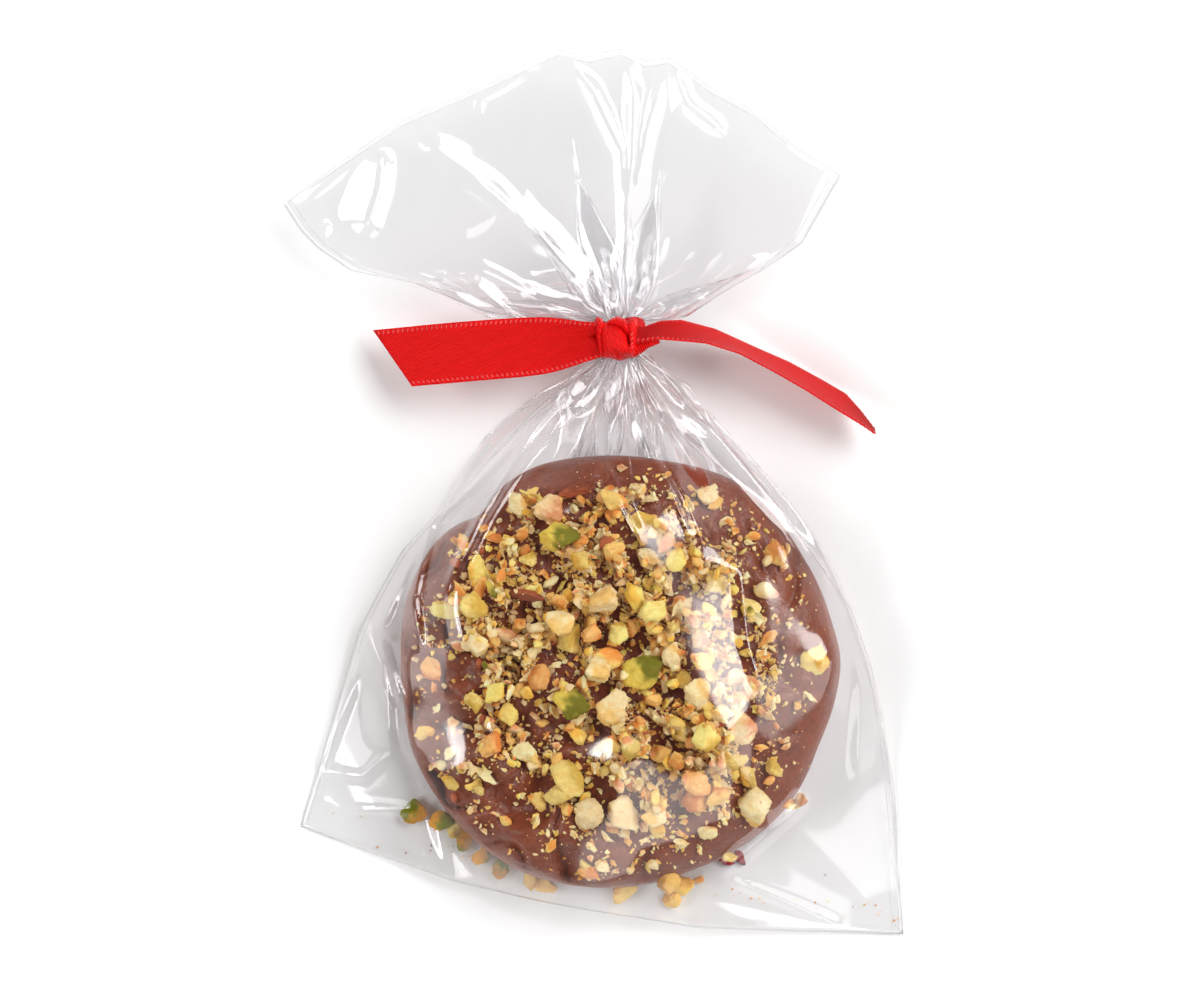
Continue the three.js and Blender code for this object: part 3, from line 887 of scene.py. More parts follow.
def pleat_size(share):
    """The share of the bag's width that the pleat here takes up."""
    index = np.clip(np.searchsorted(pleat_edges, share, side="right") - 1, 0, PLEATS - 1)
    return np.diff(pleat_edges)[index]


print("pleats:", PLEATS)

# %% [markdown]
# The start shape matters, because a net that starts tangled stays tangled. In front it is a membrane: a
# stretched film over things, where every free point is the mean of its neighbours. Behind it lies flat on
# the table. The fan starts as two panels a little apart. Then the pleats are added.

# %% Start shape
SIDE_LIFT = 5.0                # how high the bag's sides hang beside the cookie
MEMBRANE_STEPS = 1200


def film_start(columns, rows):
    """The net before it settles, with its pleats, and the height that each point tends to."""
    share, flat, past = net_lines(columns, rows)
    across = 2 * share - 1
    middle = np.sqrt(1 - across ** 2)
    up = np.clip((past - TIE_HALF) / FAN_LENGTH, 0, 1)
    fan = past > TIE_HALF
    side_height = 0.3 + NECK[2] * np.exp(-(past / 15.0) ** 2)
    side_height = side_height + SIDE_LIFT * np.exp(-((past + 42) / 24) ** 2)
    mouth_height = FAN_TIP + (FAN_MIDDLE - FAN_TIP) * middle
    calm = np.zeros(flat.shape[:3])
    for layer, side in ((0, 1), (1, -1)):
        fan_height = NECK[2] + (mouth_height - NECK[2]) * up + side * (0.25 + 1.6 * up * middle)
        if side > 0:
            floor = film_floor(flat[0, ..., 0], flat[0, ..., 1])
            held = np.broadcast_to(past > -TIE_HALF, floor.shape).copy()
            held[0] = held[:, 0] = held[:, -1] = True
            fixed = np.where(past > -TIE_HALF, NECK[2] + 0.25, side_height)
            height = np.maximum(np.broadcast_to(fixed, floor.shape), floor)
            for _ in range(MEMBRANE_STEPS):
                mean = (np.roll(height, 1, 0) + np.roll(height, -1, 0) + np.roll(height, 1, 1)
                        + np.roll(height, -1, 1)) / 4
                height = np.where(held, fixed, np.maximum(mean, floor))
        else:
            height = np.maximum(NECK[2] * np.exp(-(past / 13.0) ** 2) - 0.25, 0.15) * np.ones_like(share)
        calm[layer] = np.where(fan, fan_height, height)
    smooth = np.concatenate([flat, calm[..., None]], axis=-1)
    width = np.linalg.norm(np.gradient(smooth, axis=2), axis=-1) * columns
    pleat = 0.5 * pleat_size(share) * np.sqrt(np.clip(BAG_WIDTH ** 2 - width ** 2, 0, None))
    pleat = np.minimum(pleat, 1.9 * NECK_RADIUS * np.maximum(middle, 0.25))
    points = smooth.copy()
    points[..., 2] += 0.5 * pleat * zigzag(share)
    lowest = np.where(fan, 0.3, film_floor(points[0, ..., 0], points[0, ..., 1]))
    points[0, ..., 2] = np.maximum(points[0, ..., 2], lowest)
    points[1, ..., 2] = np.maximum(points[1, ..., 2], 0.12)
    row_lengths = np.linalg.norm(np.diff(smooth, axis=1), axis=-1, keepdims=True) * LENGTH_SPARE
    column_lengths = np.linalg.norm(np.diff(smooth, axis=2), axis=-1, keepdims=True)
    column_lengths = np.maximum(column_lengths * (past > 30)[None, ..., None], BAG_WIDTH / columns)
    return flat, past, calm, points, row_lengths, column_lengths

# %% [markdown]
# Settling repeats small moves. Points drift on with most of their last move, the pouch sinks a little and
# the fan is drawn to its panels. Then the edges get their lengths back, the surface resists bending, and
# the held outline and the ribbon pull their points home. Last, nothing may be inside the food or the table.

# %% Keep the lengths of edges
def keep_lengths(a, b, length, weight=0.5):
    """Moves the two ends of many edges so that each edge has its length again."""
    gap = b - a
    move = gap * (weight * (1 - length / (np.sqrt((gap * gap).sum(axis=-1, keepdims=True)) + 1e-9)))
    a += move
    b -= move


def keep_all_lengths(points, row_lengths, column_lengths, slant):
    """Gives the edges across, along and aslant their lengths again, every second one at a time."""
    for k in (0, 1):
        last = (points.shape[2] - k) // 2 * 2
        keep_lengths(points[:, :, k:k + last:2], points[:, :, k + 1:k + last:2],
                     column_lengths[:, :, k:k + last - 1:2])
        last = (points.shape[1] - k) // 2 * 2
        lower, upper = points[:, k:k + last:2], points[:, k + 1:k + last:2]
        keep_lengths(lower, upper, row_lengths[:, k:k + last - 1:2])
        keep_lengths(lower[:, :, :-1], upper[:, :, 1:], slant[:, k:k + last - 1:2], 0.4)
        keep_lengths(lower[:, :, 1:], upper[:, :, :-1], slant[:, k:k + last - 1:2], 0.4)
    for side in (0, -1):
        points[:, :, side] = points[:, :, side].mean(axis=0)
    points[:, 0] = points[:, 0].mean(axis=0)

# %% Stiffness and contacts
BACK_MIDDLE = 33               # mm round the cookie's middle where the back layer lies under it


def resist_bending(points, stiffness):
    """Draws each point back to the curve through its neighbours."""
    bend = np.zeros_like(points)
    bend[:, :, 1:-1] += points[:, :, 2:] + points[:, :, :-2] - 2 * points[:, :, 1:-1]
    bend[:, 1:-1] += points[:, 2:] + points[:, :-2] - 2 * points[:, 1:-1]
    points[:, 1:-1, 1:-1] -= stiffness * (
        bend[:, 1:-1, 2:] + bend[:, 1:-1, :-2] + bend[:, 2:, 1:-1] + bend[:, :-2, 1:-1]
        - 4 * bend[:, 1:-1, 1:-1])


def rest_on_things(points, before, in_fan, tied):
    """The front layer stays on the food, and the back layer between the table and the cookie."""
    front, back = points[0], points[1]
    lowest = np.where(in_fan, 0.3, film_floor(front[..., 0], front[..., 1]))
    resting = front[..., 2] < lowest
    front[..., 2] = np.maximum(front[..., 2], lowest)
    before[0, ..., 2] = np.where(resting, front[..., 2], before[0, ..., 2])
    ceiling = np.where(np.hypot(back[..., 0], back[..., 1]) < BACK_MIDDLE, 0.18, 99.0)
    back[..., 2] = np.clip(back[..., 2], 0.1, ceiling)
    crossed = (front[..., 2] < back[..., 2] + 0.1) & ~tied[0]
    crossed[0] = crossed[:, 0] = crossed[:, -1] = False
    halfway = (front[..., 2] + back[..., 2]) / 2
    front[..., 2] = np.where(crossed, np.maximum(halfway + 0.05, front[..., 2]), front[..., 2])

# %% Settle the film
DRIFT = 0.86                   # share of its last move that a point keeps
FAN_PULL = 0.02                # share of the way to its panel that the fan moves each step
SINK = 0.004                   # mm that the pouch sinks each step
MOST_PROUD = 2.4               # mm above the calm shape, past which a point is drawn back


def settle(points, flat, past, calm, row_lengths, column_lengths, steps, stiffness):
    """Lets the net find its shape. points is changed in place."""
    before = points.copy()
    tied = np.broadcast_to(np.abs(past) < TIE_HALF + 0.1, points.shape[:3])
    pinned = points[tied]
    slant = np.hypot(row_lengths[:, :, :-1], column_lengths[:, :-1])
    hold = np.zeros(flat.shape[1:3])
    hold[:, 0] = hold[:, -1] = 0.25
    hold[0] = 0.3
    hold[-1] = 0.12
    hold[-1, 0] = hold[-1, -1] = hold[0, 0] = hold[0, -1] = 0.5
    in_fan = past > 0
    pouch = past[:, 0] < 0
    for _ in range(steps):
        drift = (points - before) * DRIFT
        before[:] = points
        points += drift
        points[..., 2] += np.where(in_fan, FAN_PULL * (calm - points[..., 2]), -SINK)
        points[..., 2] -= 0.1 * np.clip(points[..., 2] - calm - MOST_PROUD, 0, None)
        for _ in range(4):
            keep_all_lengths(points, row_lengths, column_lengths, slant)
            resist_bending(points, stiffness)
            points[tied] = pinned
            points[..., :2] += hold[None, ..., None] * (flat - points[..., :2])
            for side in (0, -1):
                points[:, pouch, side, 2] += 0.3 * (calm[0, pouch, side] - points[:, pouch, side, 2])
        rest_on_things(points, before, in_fan, tied)

# %% Finer net
def refine(points):
    """A net with twice as many cells each way, on the same surface."""
    finer = np.zeros((2, 2 * points.shape[1] - 1, 2 * points.shape[2] - 1, 3))
    finer[:, ::2, ::2] = points
    finer[:, 1::2, ::2] = (points[:, 1:] + points[:, :-1]) / 2
    finer[:, :, 1::2] = (finer[:, :, 2::2] + finer[:, :, :-2:2]) / 2
    return finer

# %% [markdown]
# Real film remembers how a hand bent it. The long straight creases that the photo shows are added last:
# each is a line of pixels with a height, and how far its slope reaches to either side. The slope is
# steepest at the crest, so somewhere along it a lamp is mirrored and a white streak follows the crease.

# %% Creases of the film
# Each is a line of pixels, its height in mm, its reach to left and right in mm, and how hollow it is.
POUCH_CREASES = [
    ([(590, 372), (556, 400), (530, 434), (481, 517), (441, 602)], 1.7, 1.2, 1.2, 1.0),
    ([(575, 395), (520, 470), (490, 520), (452, 600)], 1.0, 1.0, 1.0, 1.0),
    ([(540, 420), (470, 490), (431, 524), (415, 600), (425, 662)], 2.0, 1.1, 2.8, 1.1),
    ([(431, 525), (400, 588), (376, 636)], 1.5, 1.2, 1.2, 1.0),
    ([(376, 628), (390, 665), (404, 708)], 1.2, 1.0, 1.4, 1.0),
    ([(350, 640), (379, 632), (400, 640)], 0.9, 1.0, 1.0, 1.0),
    ([(380, 636), (388, 700), (391, 756)], 1.3, 1.2, 5.0, 1.1),
    ([(360, 668), (340, 715), (312, 776)], 1.2, 1.4, 1.2, 1.0),
    ([(394, 748), (361, 778), (312, 772)], 1.0, 1.2, 1.2, 1.0),
    ([(318, 792), (340, 812), (420, 812)], 0.9, 1.6, 1.2, 1.1),
    ([(636, 380), (655, 440), (684, 500), (706, 556)], 2.0, 5.0, 2.0, 1.4),
    ([(706, 556), (738, 572), (744, 640), (762, 700)], 0.8, 4.0, 1.4, 1.4),
    ([(650, 385), (720, 440), (790, 520), (846, 600)], 1.5, 3.6, 2.6, 1.2),
    ([(846, 600), (862, 690), (858, 790)], 1.3, 3.0, 2.0, 1.2),
    ([(600, 457), (618, 492), (640, 540)], 0.7, 1.4, 0.7, 1.2),
    ([(806, 780), (799, 807), (745, 852), (718, 879)], 1.2, 1.8, 2.6, 1.4),
    ([(720, 875), (790, 905), (850, 933)], 1.0, 1.6, 1.6, 1.4),
    ([(512, 770), (498, 742), (492, 715)], 0.5, 0.8, 0.8, 1.2),
]
FAN_CREASES = [
    ([(604, 312), (540, 235), (470, 175), (399, 124)], 1.9, 7.0, 6.0, 2.0),
    ([(622, 312), (628, 240), (622, 150), (593, 90), (558, 51)], 1.7, 6.0, 2.4, 2.0),
    ([(624, 312), (624, 240), (631, 160), (633, 90), (622, 52)], 1.8, 2.2, 2.4, 1.6),
    ([(618, 300), (632, 199), (647, 124), (668, 60)], 1.3, 2.2, 3.6, 2.0),
    ([(670, 62), (687, 105), (710, 122), (728, 140)], 1.2, 2.6, 4.0, 2.0),
    ([(640, 312), (700, 240), (735, 170), (758, 117)], 0.5, 2.0, 3.0, 1.6),
    ([(600, 318), (570, 314), (480, 272), (414, 279), (326, 250)], 1.4, 3.0, 2.6, 1.4),
    ([(514, 262), (510, 205), (470, 226), (415, 214), (399, 196)], 1.2, 3.2, 3.2, 1.3),
    ([(546, 62), (505, 88), (481, 100), (479, 126)], 0.8, 1.2, 2.2, 1.4),
    ([(294, 207), (344, 170), (396, 134)], 0.8, 1.4, 1.6, 1.2),
    ([(384, 142), (378, 190), (361, 240)], 2.2, 3.0, 5.5, 1.1),
    ([(326, 216), (336, 226), (330, 240)], 0.6, 1.2, 1.2, 1.4),
    ([(777, 255), (720, 280), (650, 318)], 1.2, 2.6, 2.6, 1.4),
]
print("creases:", len(POUCH_CREASES) + len(FAN_CREASES))

# %% How the creases lift the film
def crease_lift(points, creases):
    """How far, in mm, the creases lift each point."""
    x, y = points[..., 0], points[..., 1]
    lift = np.zeros(x.shape)
    for line, height, left_reach, right_reach, hollow in creases:
        nearest, at, side = near_line(x, y, [place(px, py, 9.0) for px, py in line])
        reach = np.where(side > 0, left_reach, right_reach)
        ends = smoothstep(at, 0, 0.25) * smoothstep(1 - at, 0, 0.2)
        lift = np.maximum(lift, height * ends * np.clip(1 - nearest / reach, 0, 1) ** hollow)
    return lift

# %% [markdown]
# Two things are left of the solver's roughness: the fan is less broad and flat than the real one, and the
# film over the cookie, which is taut, is too wavy. So the fan is drawn towards its panels and the taut
# part is smoothed again and again. It may dip a little below the cover but not into the food.

# %% Calm the film
COVER_SPARE = 0.8              # mm that the smoothed film may dip below the cover


def film_calm(points, flat, past, calm, steps):
    """Lets the outer fan lie in its broad panels and smooths the film that is taut over the cookie."""
    outer = 0.85 * smoothstep(past, 10, 40)[..., None]
    points += outer * (np.concatenate([flat, calm[..., None]], axis=-1) - points)
    front = points[0]
    taut = smoothstep(-past, 12, 28)[1:-1, :, None]
    for _ in range(steps):
        mean = (front[:-2, 1:-1] + front[2:, 1:-1] + front[1:-1, :-2] + front[1:-1, 2:]) / 4
        front[1:-1, 1:-1] += taut * (mean - front[1:-1, 1:-1])
        lowest = np.where(past > -TIE_HALF, 0.0, film_floor(front[..., 0], front[..., 1]) - COVER_SPARE)
        front[..., 2] = np.maximum(front[..., 2], lowest)

# %% [markdown]
# Now the film is made: first the coarse net, then the fine one, then the smoothing and the creases.

# %% Solve the film
NET_COLUMNS, NET_ROWS = 84, (80, 4, 42)
clock = time.perf_counter()
flat, past, calm, film, *lengths = film_start(NET_COLUMNS, NET_ROWS)
settle(film, flat, past, calm, *lengths, 220, 0.02)
print("first net:", round(time.perf_counter() - clock, 1), "s")
flat, past, calm, _, *lengths = film_start(NET_COLUMNS * 2, [2 * n for n in NET_ROWS])
film = refine(film)
settle(film, flat, past, calm, *lengths, 70, 0.006)
film_calm(film, flat, past, calm, 200)
film[0, ..., 2] += crease_lift(film[0], POUCH_CREASES + FAN_CREASES)
film[1, ..., 2] = np.maximum(film[1, ..., 2] - 0.5 * crease_lift(film[1], FAN_CREASES), 0.12)
print("film settled in", round(time.perf_counter() - clock, 1), "s")
print("film top in mm:", round(film[..., 2].max(), 1))

# %% [markdown]
# Clear film is so thin that light goes straight through it, so it needs no thickness: each layer lets
# light pass and mirrors a few percent of it, more at a glancing angle. A Transparent and a Glossy shader
# mixed by Fresnel do exactly that. A film has two surfaces, so the mirrored share is counted twice.

# %% Film material
FILM_IOR = 1.52
film_material = bpy.data.materials.new("clear_film")
film_material.use_nodes = True
film_tree = film_material.node_tree
film_tree.nodes.remove(film_tree.nodes["Principled BSDF"])
film_out = film_tree.nodes["Material Output"]
film_coordinates = add(film_tree, "ShaderNodeTexCoord")
ripple = add(film_tree, "ShaderNodeTexNoise", {
    "Vector": film_coordinates.outputs["Object"], "Scale": 140.0, "Detail": 2.0, "Roughness": 0.5})
ripple_bump = add(film_tree, "ShaderNodeBump", {
    "Height": ripple.outputs["Fac"], "Strength": 0.12, "Distance": 0.4 * MM})
# A ray that meets the film from behind still comes from air, so the node's IOR is turned over there.
facing_side = add(film_tree, "ShaderNodeNewGeometry")
ior = maths(film_tree, "MULTIPLY_ADD", facing_side.outputs["Backfacing"], 1 / FILM_IOR - FILM_IOR, FILM_IOR)
fresnel = add(film_tree, "ShaderNodeFresnel", {"IOR": ior, "Normal": ripple_bump.outputs["Normal"]})
doubled = maths(film_tree, "MULTIPLY", fresnel.outputs["Fac"], 2.0)
one_more = maths(film_tree, "ADD", fresnel.outputs["Fac"], 1.0)
both_faces = maths(film_tree, "DIVIDE", doubled, one_more)
clear = add(film_tree, "ShaderNodeBsdfTransparent", {"Color": (0.995, 0.993, 0.996, 1.0)})
mirror = add(film_tree, "ShaderNodeBsdfGlossy", {
    "Color": (1.0, 1.0, 1.0, 1.0), "Roughness": 0.11, "Normal": ripple_bump.outputs["Normal"]})
film_mix = add(film_tree, "ShaderNodeMixShader", {0: both_faces, 1: clear.outputs[0], 2: mirror.outputs[0]})
film_tree.links.new(film_mix.outputs[0], film_out.inputs["Surface"])
print("film material:", len(film_tree.nodes), "nodes")

# %% [markdown]
# The net becomes one mesh of two layers. They share the points of their side folds and bottom fold, so
# the bag is closed there, and the mouth stays open.

# %% Film mesh
rows, columns = film.shape[1:3]
front_index = np.arange(rows * columns).reshape(rows, columns)
back_index = front_index + rows * columns
for fold in ((slice(None), 0), (slice(None), -1), (0, slice(None))):
    back_index[fold] = front_index[fold]


def layer_faces(index, flip):
    """The four-sided cells of a layer, facing up, or down if flipped."""
    corners = [index[:-1, :-1], index[:-1, 1:], index[1:, 1:], index[1:, :-1]]
    return np.stack(corners[::-1] if flip else corners, axis=-1).reshape(-1, 4)


film_faces = np.concatenate([layer_faces(front_index, False), layer_faces(back_index, True)])
film_points = film.reshape(-1, 3)
used = np.unique(film_faces)
renumber = np.full(len(film_points), -1)
renumber[used] = np.arange(len(used))
bag = build_mesh("film_bag", film_points[used], renumber[film_faces], film_material)
print("film:", len(bag.data.polygons), "cells")

# %% [markdown]
# The film was laid on a smooth cover, so a few high pieces would stick out of it. Real film presses them
# down. A ray dropped on the film over each point of a piece says how far that point is above the film, and
# the whole piece goes down by its worst point.

# %% Press the pieces under the film
PRESS_GAP = 0.05               # mm left between a pressed piece and the film
HIGH_ABOVE = 60.0              # mm, well above everything
DOWN = Vector((0, 0, -1))
film_hits = BVHTree.FromPolygons(film_points[used].tolist(), renumber[film_faces].tolist())


def film_over(x, y):
    """The height of the film's upper face over a spot, in mm."""
    hit = film_hits.ray_cast(Vector((x, y, HIGH_ABOVE)), DOWN)[0]
    return hit.z if hit is not None else HIGH_ABOVE


pressed = 0
for batch, piece in zip((crumbs, flakes, bits, chunks, loose, dust), pieces_inside):
    points = np.concatenate(batch.points)
    over = np.array([film_over(x, y) for x, y in points[:, :2].tolist()])
    too_high = (points[:, 2] + PRESS_GAP - over).reshape(len(batch.points), -1).max(axis=1)
    down = np.clip(too_high, 0, None)
    points[:, 2] -= np.repeat(down, len(batch.ball))
    piece.data.vertices.foreach_set("co", (points * MM).ravel())
    piece.data.update()
    pressed += np.count_nonzero(down)
print("pieces pressed down by the film:", pressed)

# %% [markdown]
# Where film is cut or folded over, its edge shows as a fine grey line. A very thin thread of film along
# the mouth, the sides and the bottom draws it.

# %% Film edges
EDGE_RADIUS = 0.08             # mm
THREAD_SIDES = 6
edge_material, edge_tree, edge_shader = new_material(
    "film_edge", Roughness=0.2, Transmission_Weight=1.0, IOR=1.12, Specular_IOR_Level=0.8)
edge_shader.inputs["Base Color"].default_value = (0.93, 0.93, 0.94, 1.0)


def thread_grid(path, radius):
    """A grid of points round a path, thin at both ends."""
    forward = np.gradient(path, axis=0)
    forward /= np.linalg.norm(forward, axis=1)[:, None] + 1e-9
    side = np.cross(forward, (0.0, 0.0, 1.0))
    side /= np.linalg.norm(side, axis=1)[:, None] + 1e-9
    around = np.linspace(0, 2 * math.pi, THREAD_SIDES, endpoint=False)
    thin = np.clip(np.minimum(np.arange(len(path)), np.arange(len(path))[::-1]) / 3, 0.05, 1)[:, None, None]
    ring = (side[:, None] * np.cos(around)[None, :, None]
            + np.cross(side, forward)[:, None] * np.sin(around)[None, :, None])
    return path[:, None] + ring * radius * thin


edge_points, edge_faces = [], []
for path in (film[0, -1], film[1, -1], film[0, 0], film[0, :, 0], film[0, :, -1], film[0, :, 2],
             film[0, :, -3]):
    threads = thread_grid(path, EDGE_RADIUS)
    first = sum(len(p) for p in edge_points)
    edge_faces.append(grid_faces(len(threads), THREAD_SIDES, first, closed=True))
    edge_points.append(threads.reshape(-1, 3))
edges = build_mesh("film_edges", np.concatenate(edge_points), np.concatenate(edge_faces), edge_material)
print("edges:", len(edges.data.polygons), "faces")

# %% [markdown]
# The ribbon is 10 mm red satin, half a millimetre thick at most. Satin shines because long threads float
# over the weave, so the material has fine slanted lines along its length, a different edge weave, and a
# sheen. The sheen is the shader's soft gloss together with painted light: the colour is a lighter red on
# the raised threads, a painted highlight, and a darker red in the grooves between them, a painted shade,
# with a little random fuzz. A node group draws those threads from the ribbon's own flat measure in
# millimetres, which each strip carries as a UV map, so the weave follows every twist.

# %% The satin weave group
# Shade is the darker red painted into the grooves between threads, a painted shade; Thread is the lighter red
# of the raised threads, a painted highlight.
weave, weave_in, weave_out = new_group(
    "satin weave",
    [
        ("Thread", "NodeSocketColor", (0.7, 0.0, 0.0, 1.0)),
        ("Shade", "NodeSocketColor", (0.4, 0.0, 0.0, 1.0)),
        ("Pitch", "NodeSocketFloat", 0.42),
        ("Half Width", "NodeSocketFloat", 5.0),
        ("Edge Width", "NodeSocketFloat", 0.8),
    ],
    [("Color", "NodeSocketColor"), ("Height", "NodeSocketFloat")],
)
flat_map = add(weave, "ShaderNodeUVMap", uv_map="flat")
parts = add(weave, "ShaderNodeSeparateXYZ", {"Vector": flat_map.outputs["UV"]})
# The flat map is in centimetres: x along the ribbon and y across it, 0 at its middle.
along_mm = maths(weave, "MULTIPLY", parts.outputs["X"], 10.0)
across_mm = maths(weave, "MULTIPLY", parts.outputs["Y"], 10.0)
TWILL_LEAN = 0.42              # how far the slanted lines go across for each mm along
RIB_PITCH = 0.42               # mm from rib to rib in the woven edges
wander = add(weave, "ShaderNodeTexNoise", {"Vector": flat_map.outputs["UV"], "Scale": 5.0, "Detail": 2.0})
slanted = maths(weave, "MULTIPLY_ADD", along_mm, TWILL_LEAN, across_mm)
wandered = maths(weave, "MULTIPLY_ADD", wander.outputs["Fac"], 0.5, slanted)
turns = maths(weave, "DIVIDE", wandered, weave_in.outputs["Pitch"])
twill = maths(weave, "SINE", maths(weave, "MULTIPLY", turns, 2 * math.pi))
from_middle = maths(weave, "ABSOLUTE", across_mm)
to_edge = maths(weave, "SUBTRACT", weave_in.outputs["Half Width"], from_middle)
in_edge = maths(weave, "LESS_THAN", to_edge, weave_in.outputs["Edge Width"])
ribs = maths(weave, "SINE", maths(weave, "MULTIPLY", along_mm, 2 * math.pi / RIB_PITCH))
relief_mix = add(weave, "ShaderNodeMix", {0: in_edge, 2: twill, 3: ribs})
fuzz = add(weave, "ShaderNodeTexNoise", {"Vector": flat_map.outputs["UV"], "Scale": 60.0, "Detail": 2.0})
relief_all = maths(weave, "MULTIPLY_ADD", fuzz.outputs["Fac"], 1.2, relief_mix.outputs[0])
# Painted shade and highlight: the colour follows the thread relief, darker red in the grooves and lighter red
# on the raised threads.
painted_light_share = maths(weave, "MULTIPLY_ADD", relief_all, 0.3, 0.35, use_clamp=True)
threads = add(weave, "ShaderNodeMix", {
    0: painted_light_share, 6: weave_in.outputs["Shade"], 7: weave_in.outputs["Thread"]}, data_type="RGBA")
weave.links.new(threads.outputs[2], weave_out.inputs["Color"])
weave.links.new(relief_all, weave_out.inputs["Height"])
print("satin weave group:", len(weave.nodes), "nodes")

# %% [markdown]
# The satin itself is a bright red with a soft gloss. The group gives its colour, with the painted shade
# in the grooves and the painted highlight on the raised threads, and the height of its threads, and a bump
# turns that height into the fine lines that catch the light.

# %% Red satin
satin, satin_tree, satin_shader = new_material("red_satin", Roughness=0.42, Specular_IOR_Level=0.12)
# Thread is the lit red of the raised threads and Shade the painted shade in the grooves of the weave.
satin_weave = add(satin_tree, "ShaderNodeGroup", {
    "Thread": srgb(255, 30, 30), "Shade": srgb(228, 10, 14)}, node_tree=weave)
satin_tree.links.new(satin_weave.outputs["Color"], satin_shader.inputs["Base Color"])
satin_relief = add(satin_tree, "ShaderNodeBump", {
    "Height": satin_weave.outputs["Height"], "Strength": 1.1, "Distance": 0.08 * MM})
satin_tree.links.new(satin_relief.outputs["Normal"], satin_shader.inputs["Normal"])
print("red satin:", len(satin_tree.nodes), "nodes")

# %% [markdown]
# Each part of the ribbon is a strip: a grid of points that is given thickness. The strip's middle line is
# a smooth curve through a few places, and at each place the strip has a width and leans on its edge by
# an angle. Small folds near the knot are added along the strip's own normal.

# %% Smooth lines
RIBBON_HALF = 5.0              # half the ribbon's width, in mm
SATIN_THICK = 0.3
STRIP_ROWS, STRIP_COLUMNS = 90, 24


def smooth_line(values, t):
    """A smooth curve through values that are evenly spaced in t, 0 to 1."""
    values = np.asarray(values, float)
    if values.ndim == 1:
        values = values[:, None]
    padded = np.concatenate([[2 * values[0] - values[1]], values, [2 * values[-1] - values[-2]]])
    at = np.clip(np.asarray(t) * (len(values) - 1), 0, len(values) - 1 - 1e-9)
    k, f = at.astype(int), (at % 1)[:, None]
    p0, p1, p2, p3 = (padded[k + i] for i in range(4))
    line = 0.5 * (2 * p1 + (p2 - p0) * f + (2 * p0 - 5 * p1 + 4 * p2 - p3) * f ** 2
                  + (3 * p1 - p0 - 3 * p2 + p3) * f ** 3)
    return line.squeeze()


def unit(vectors):
    """The vectors at length 1."""
    return vectors / (np.linalg.norm(vectors, axis=-1, keepdims=True) + 1e-12)

# %% Sheets of satin
def thick_sheet(name, grid, flat_uv):
    """A closed sheet of satin around a grid of points, with the flat measure of each point as its UV."""
    rows, columns = grid.shape[:2]
    down = np.gradient(grid, axis=0)
    right = np.gradient(grid, axis=1)
    normal = unit(np.cross(right, down))
    rim = np.ones((rows, columns, 1))
    rim[0] = rim[-1] = rim[:, 0] = rim[:, -1] = 0.55
    half = normal * rim * SATIN_THICK / 2
    top, under = grid + half, grid - half
    index = np.arange(rows * columns).reshape(rows, columns)
    faces = [grid_faces(rows, columns), grid_faces(rows, columns, rows * columns)[:, ::-1]]
    ring = np.r_[index[0, :-1], index[:-1, -1], index[-1, :0:-1], index[:0:-1, 0]]
    next_ring = np.roll(ring, -1)
    faces.append(np.stack([next_ring, ring, ring + rows * columns, next_ring + rows * columns], axis=1))
    uv = np.asarray(flat_uv).reshape(-1, 2)
    return build_mesh(name, np.concatenate([top.reshape(-1, 3), under.reshape(-1, 3)]),
                      np.concatenate(faces)[:, ::-1], satin, flat_uv=np.concatenate([uv, uv]))

# %% Strips
def strip_grid(path, lean, width, slant, side, fold):
    """The grid of a strip, its flat measure in centimetres, and its normals. side is -1 to the left."""
    t = np.linspace(0, 1, STRIP_ROWS + 1)
    centre = smooth_line(path, t)
    forward = unit(np.gradient(centre, axis=0))
    tilt = np.radians(smooth_line(lean, t))[:, None]
    level = unit(np.stack([-forward[:, 1], forward[:, 0], np.zeros(len(t))], axis=1)) * side
    across = level * np.cos(tilt) + np.array([0, 0, 1.0]) * np.sin(tilt)
    normal = unit(np.cross(forward, across)) * side
    v = np.linspace(-0.5, 0.5, STRIP_COLUMNS + 1)
    cut = np.tan(np.radians(slant)) * 2 * RIBBON_HALF * v[None, :] * t[:, None] ** 4
    wide = smooth_line(width, t)[:, None]
    grid = centre[:, None] + across[:, None] * (v * wide)[..., None] + forward[:, None] * cut[..., None]
    grid = grid + normal[:, None] * fold(t[:, None], v[None, :])[..., None]
    run = np.r_[0, np.cumsum(np.linalg.norm(np.diff(centre, axis=0), axis=1))]
    across_cm = np.broadcast_to(v * 2 * RIBBON_HALF / 10, grid.shape[:2])
    return grid, np.stack([(run[:, None] + cut) / 10, across_cm], axis=-1), normal

# %% [markdown]
# The left tail is that strip, nearly flat, with a valley where the knot gathers it. The right tail stands
# almost on its edge, so it is drawn between its two long edges as the photo shows them.

# %% Left tail
def left_folds(t, v):
    """How far the left tail stands off its plane, in mm."""
    near = np.clip(1 - t / 0.34, 0, 1)
    valley = -3.4 * near ** 1.6 * np.exp(-((v - 0.1) / 0.1) ** 2)
    ridge = 0.7 * near * np.exp(-((v + 0.22) / 0.14) ** 2)
    return valley + ridge + 0.35 * np.sin(2.2 * math.pi * t + 0.8) * (v + 0.5)


left_grid, left_uv, left_normal = strip_grid(
    [(-1.5, 55.3, 11.4), (-5.5, 54.6, 11.6), (-13, 53.9, 11), (-25, 53, 9.4), (-37.6, 51.9, 6.6)],
    [10, 4, 0, -6, -10], [5, 6.5, 9.4, 10, 10], 30, -1, left_folds)
left_tail = thick_sheet("ribbon_left_tail", left_grid, left_uv)
print("left tail:", len(left_tail.data.polygons), "faces")

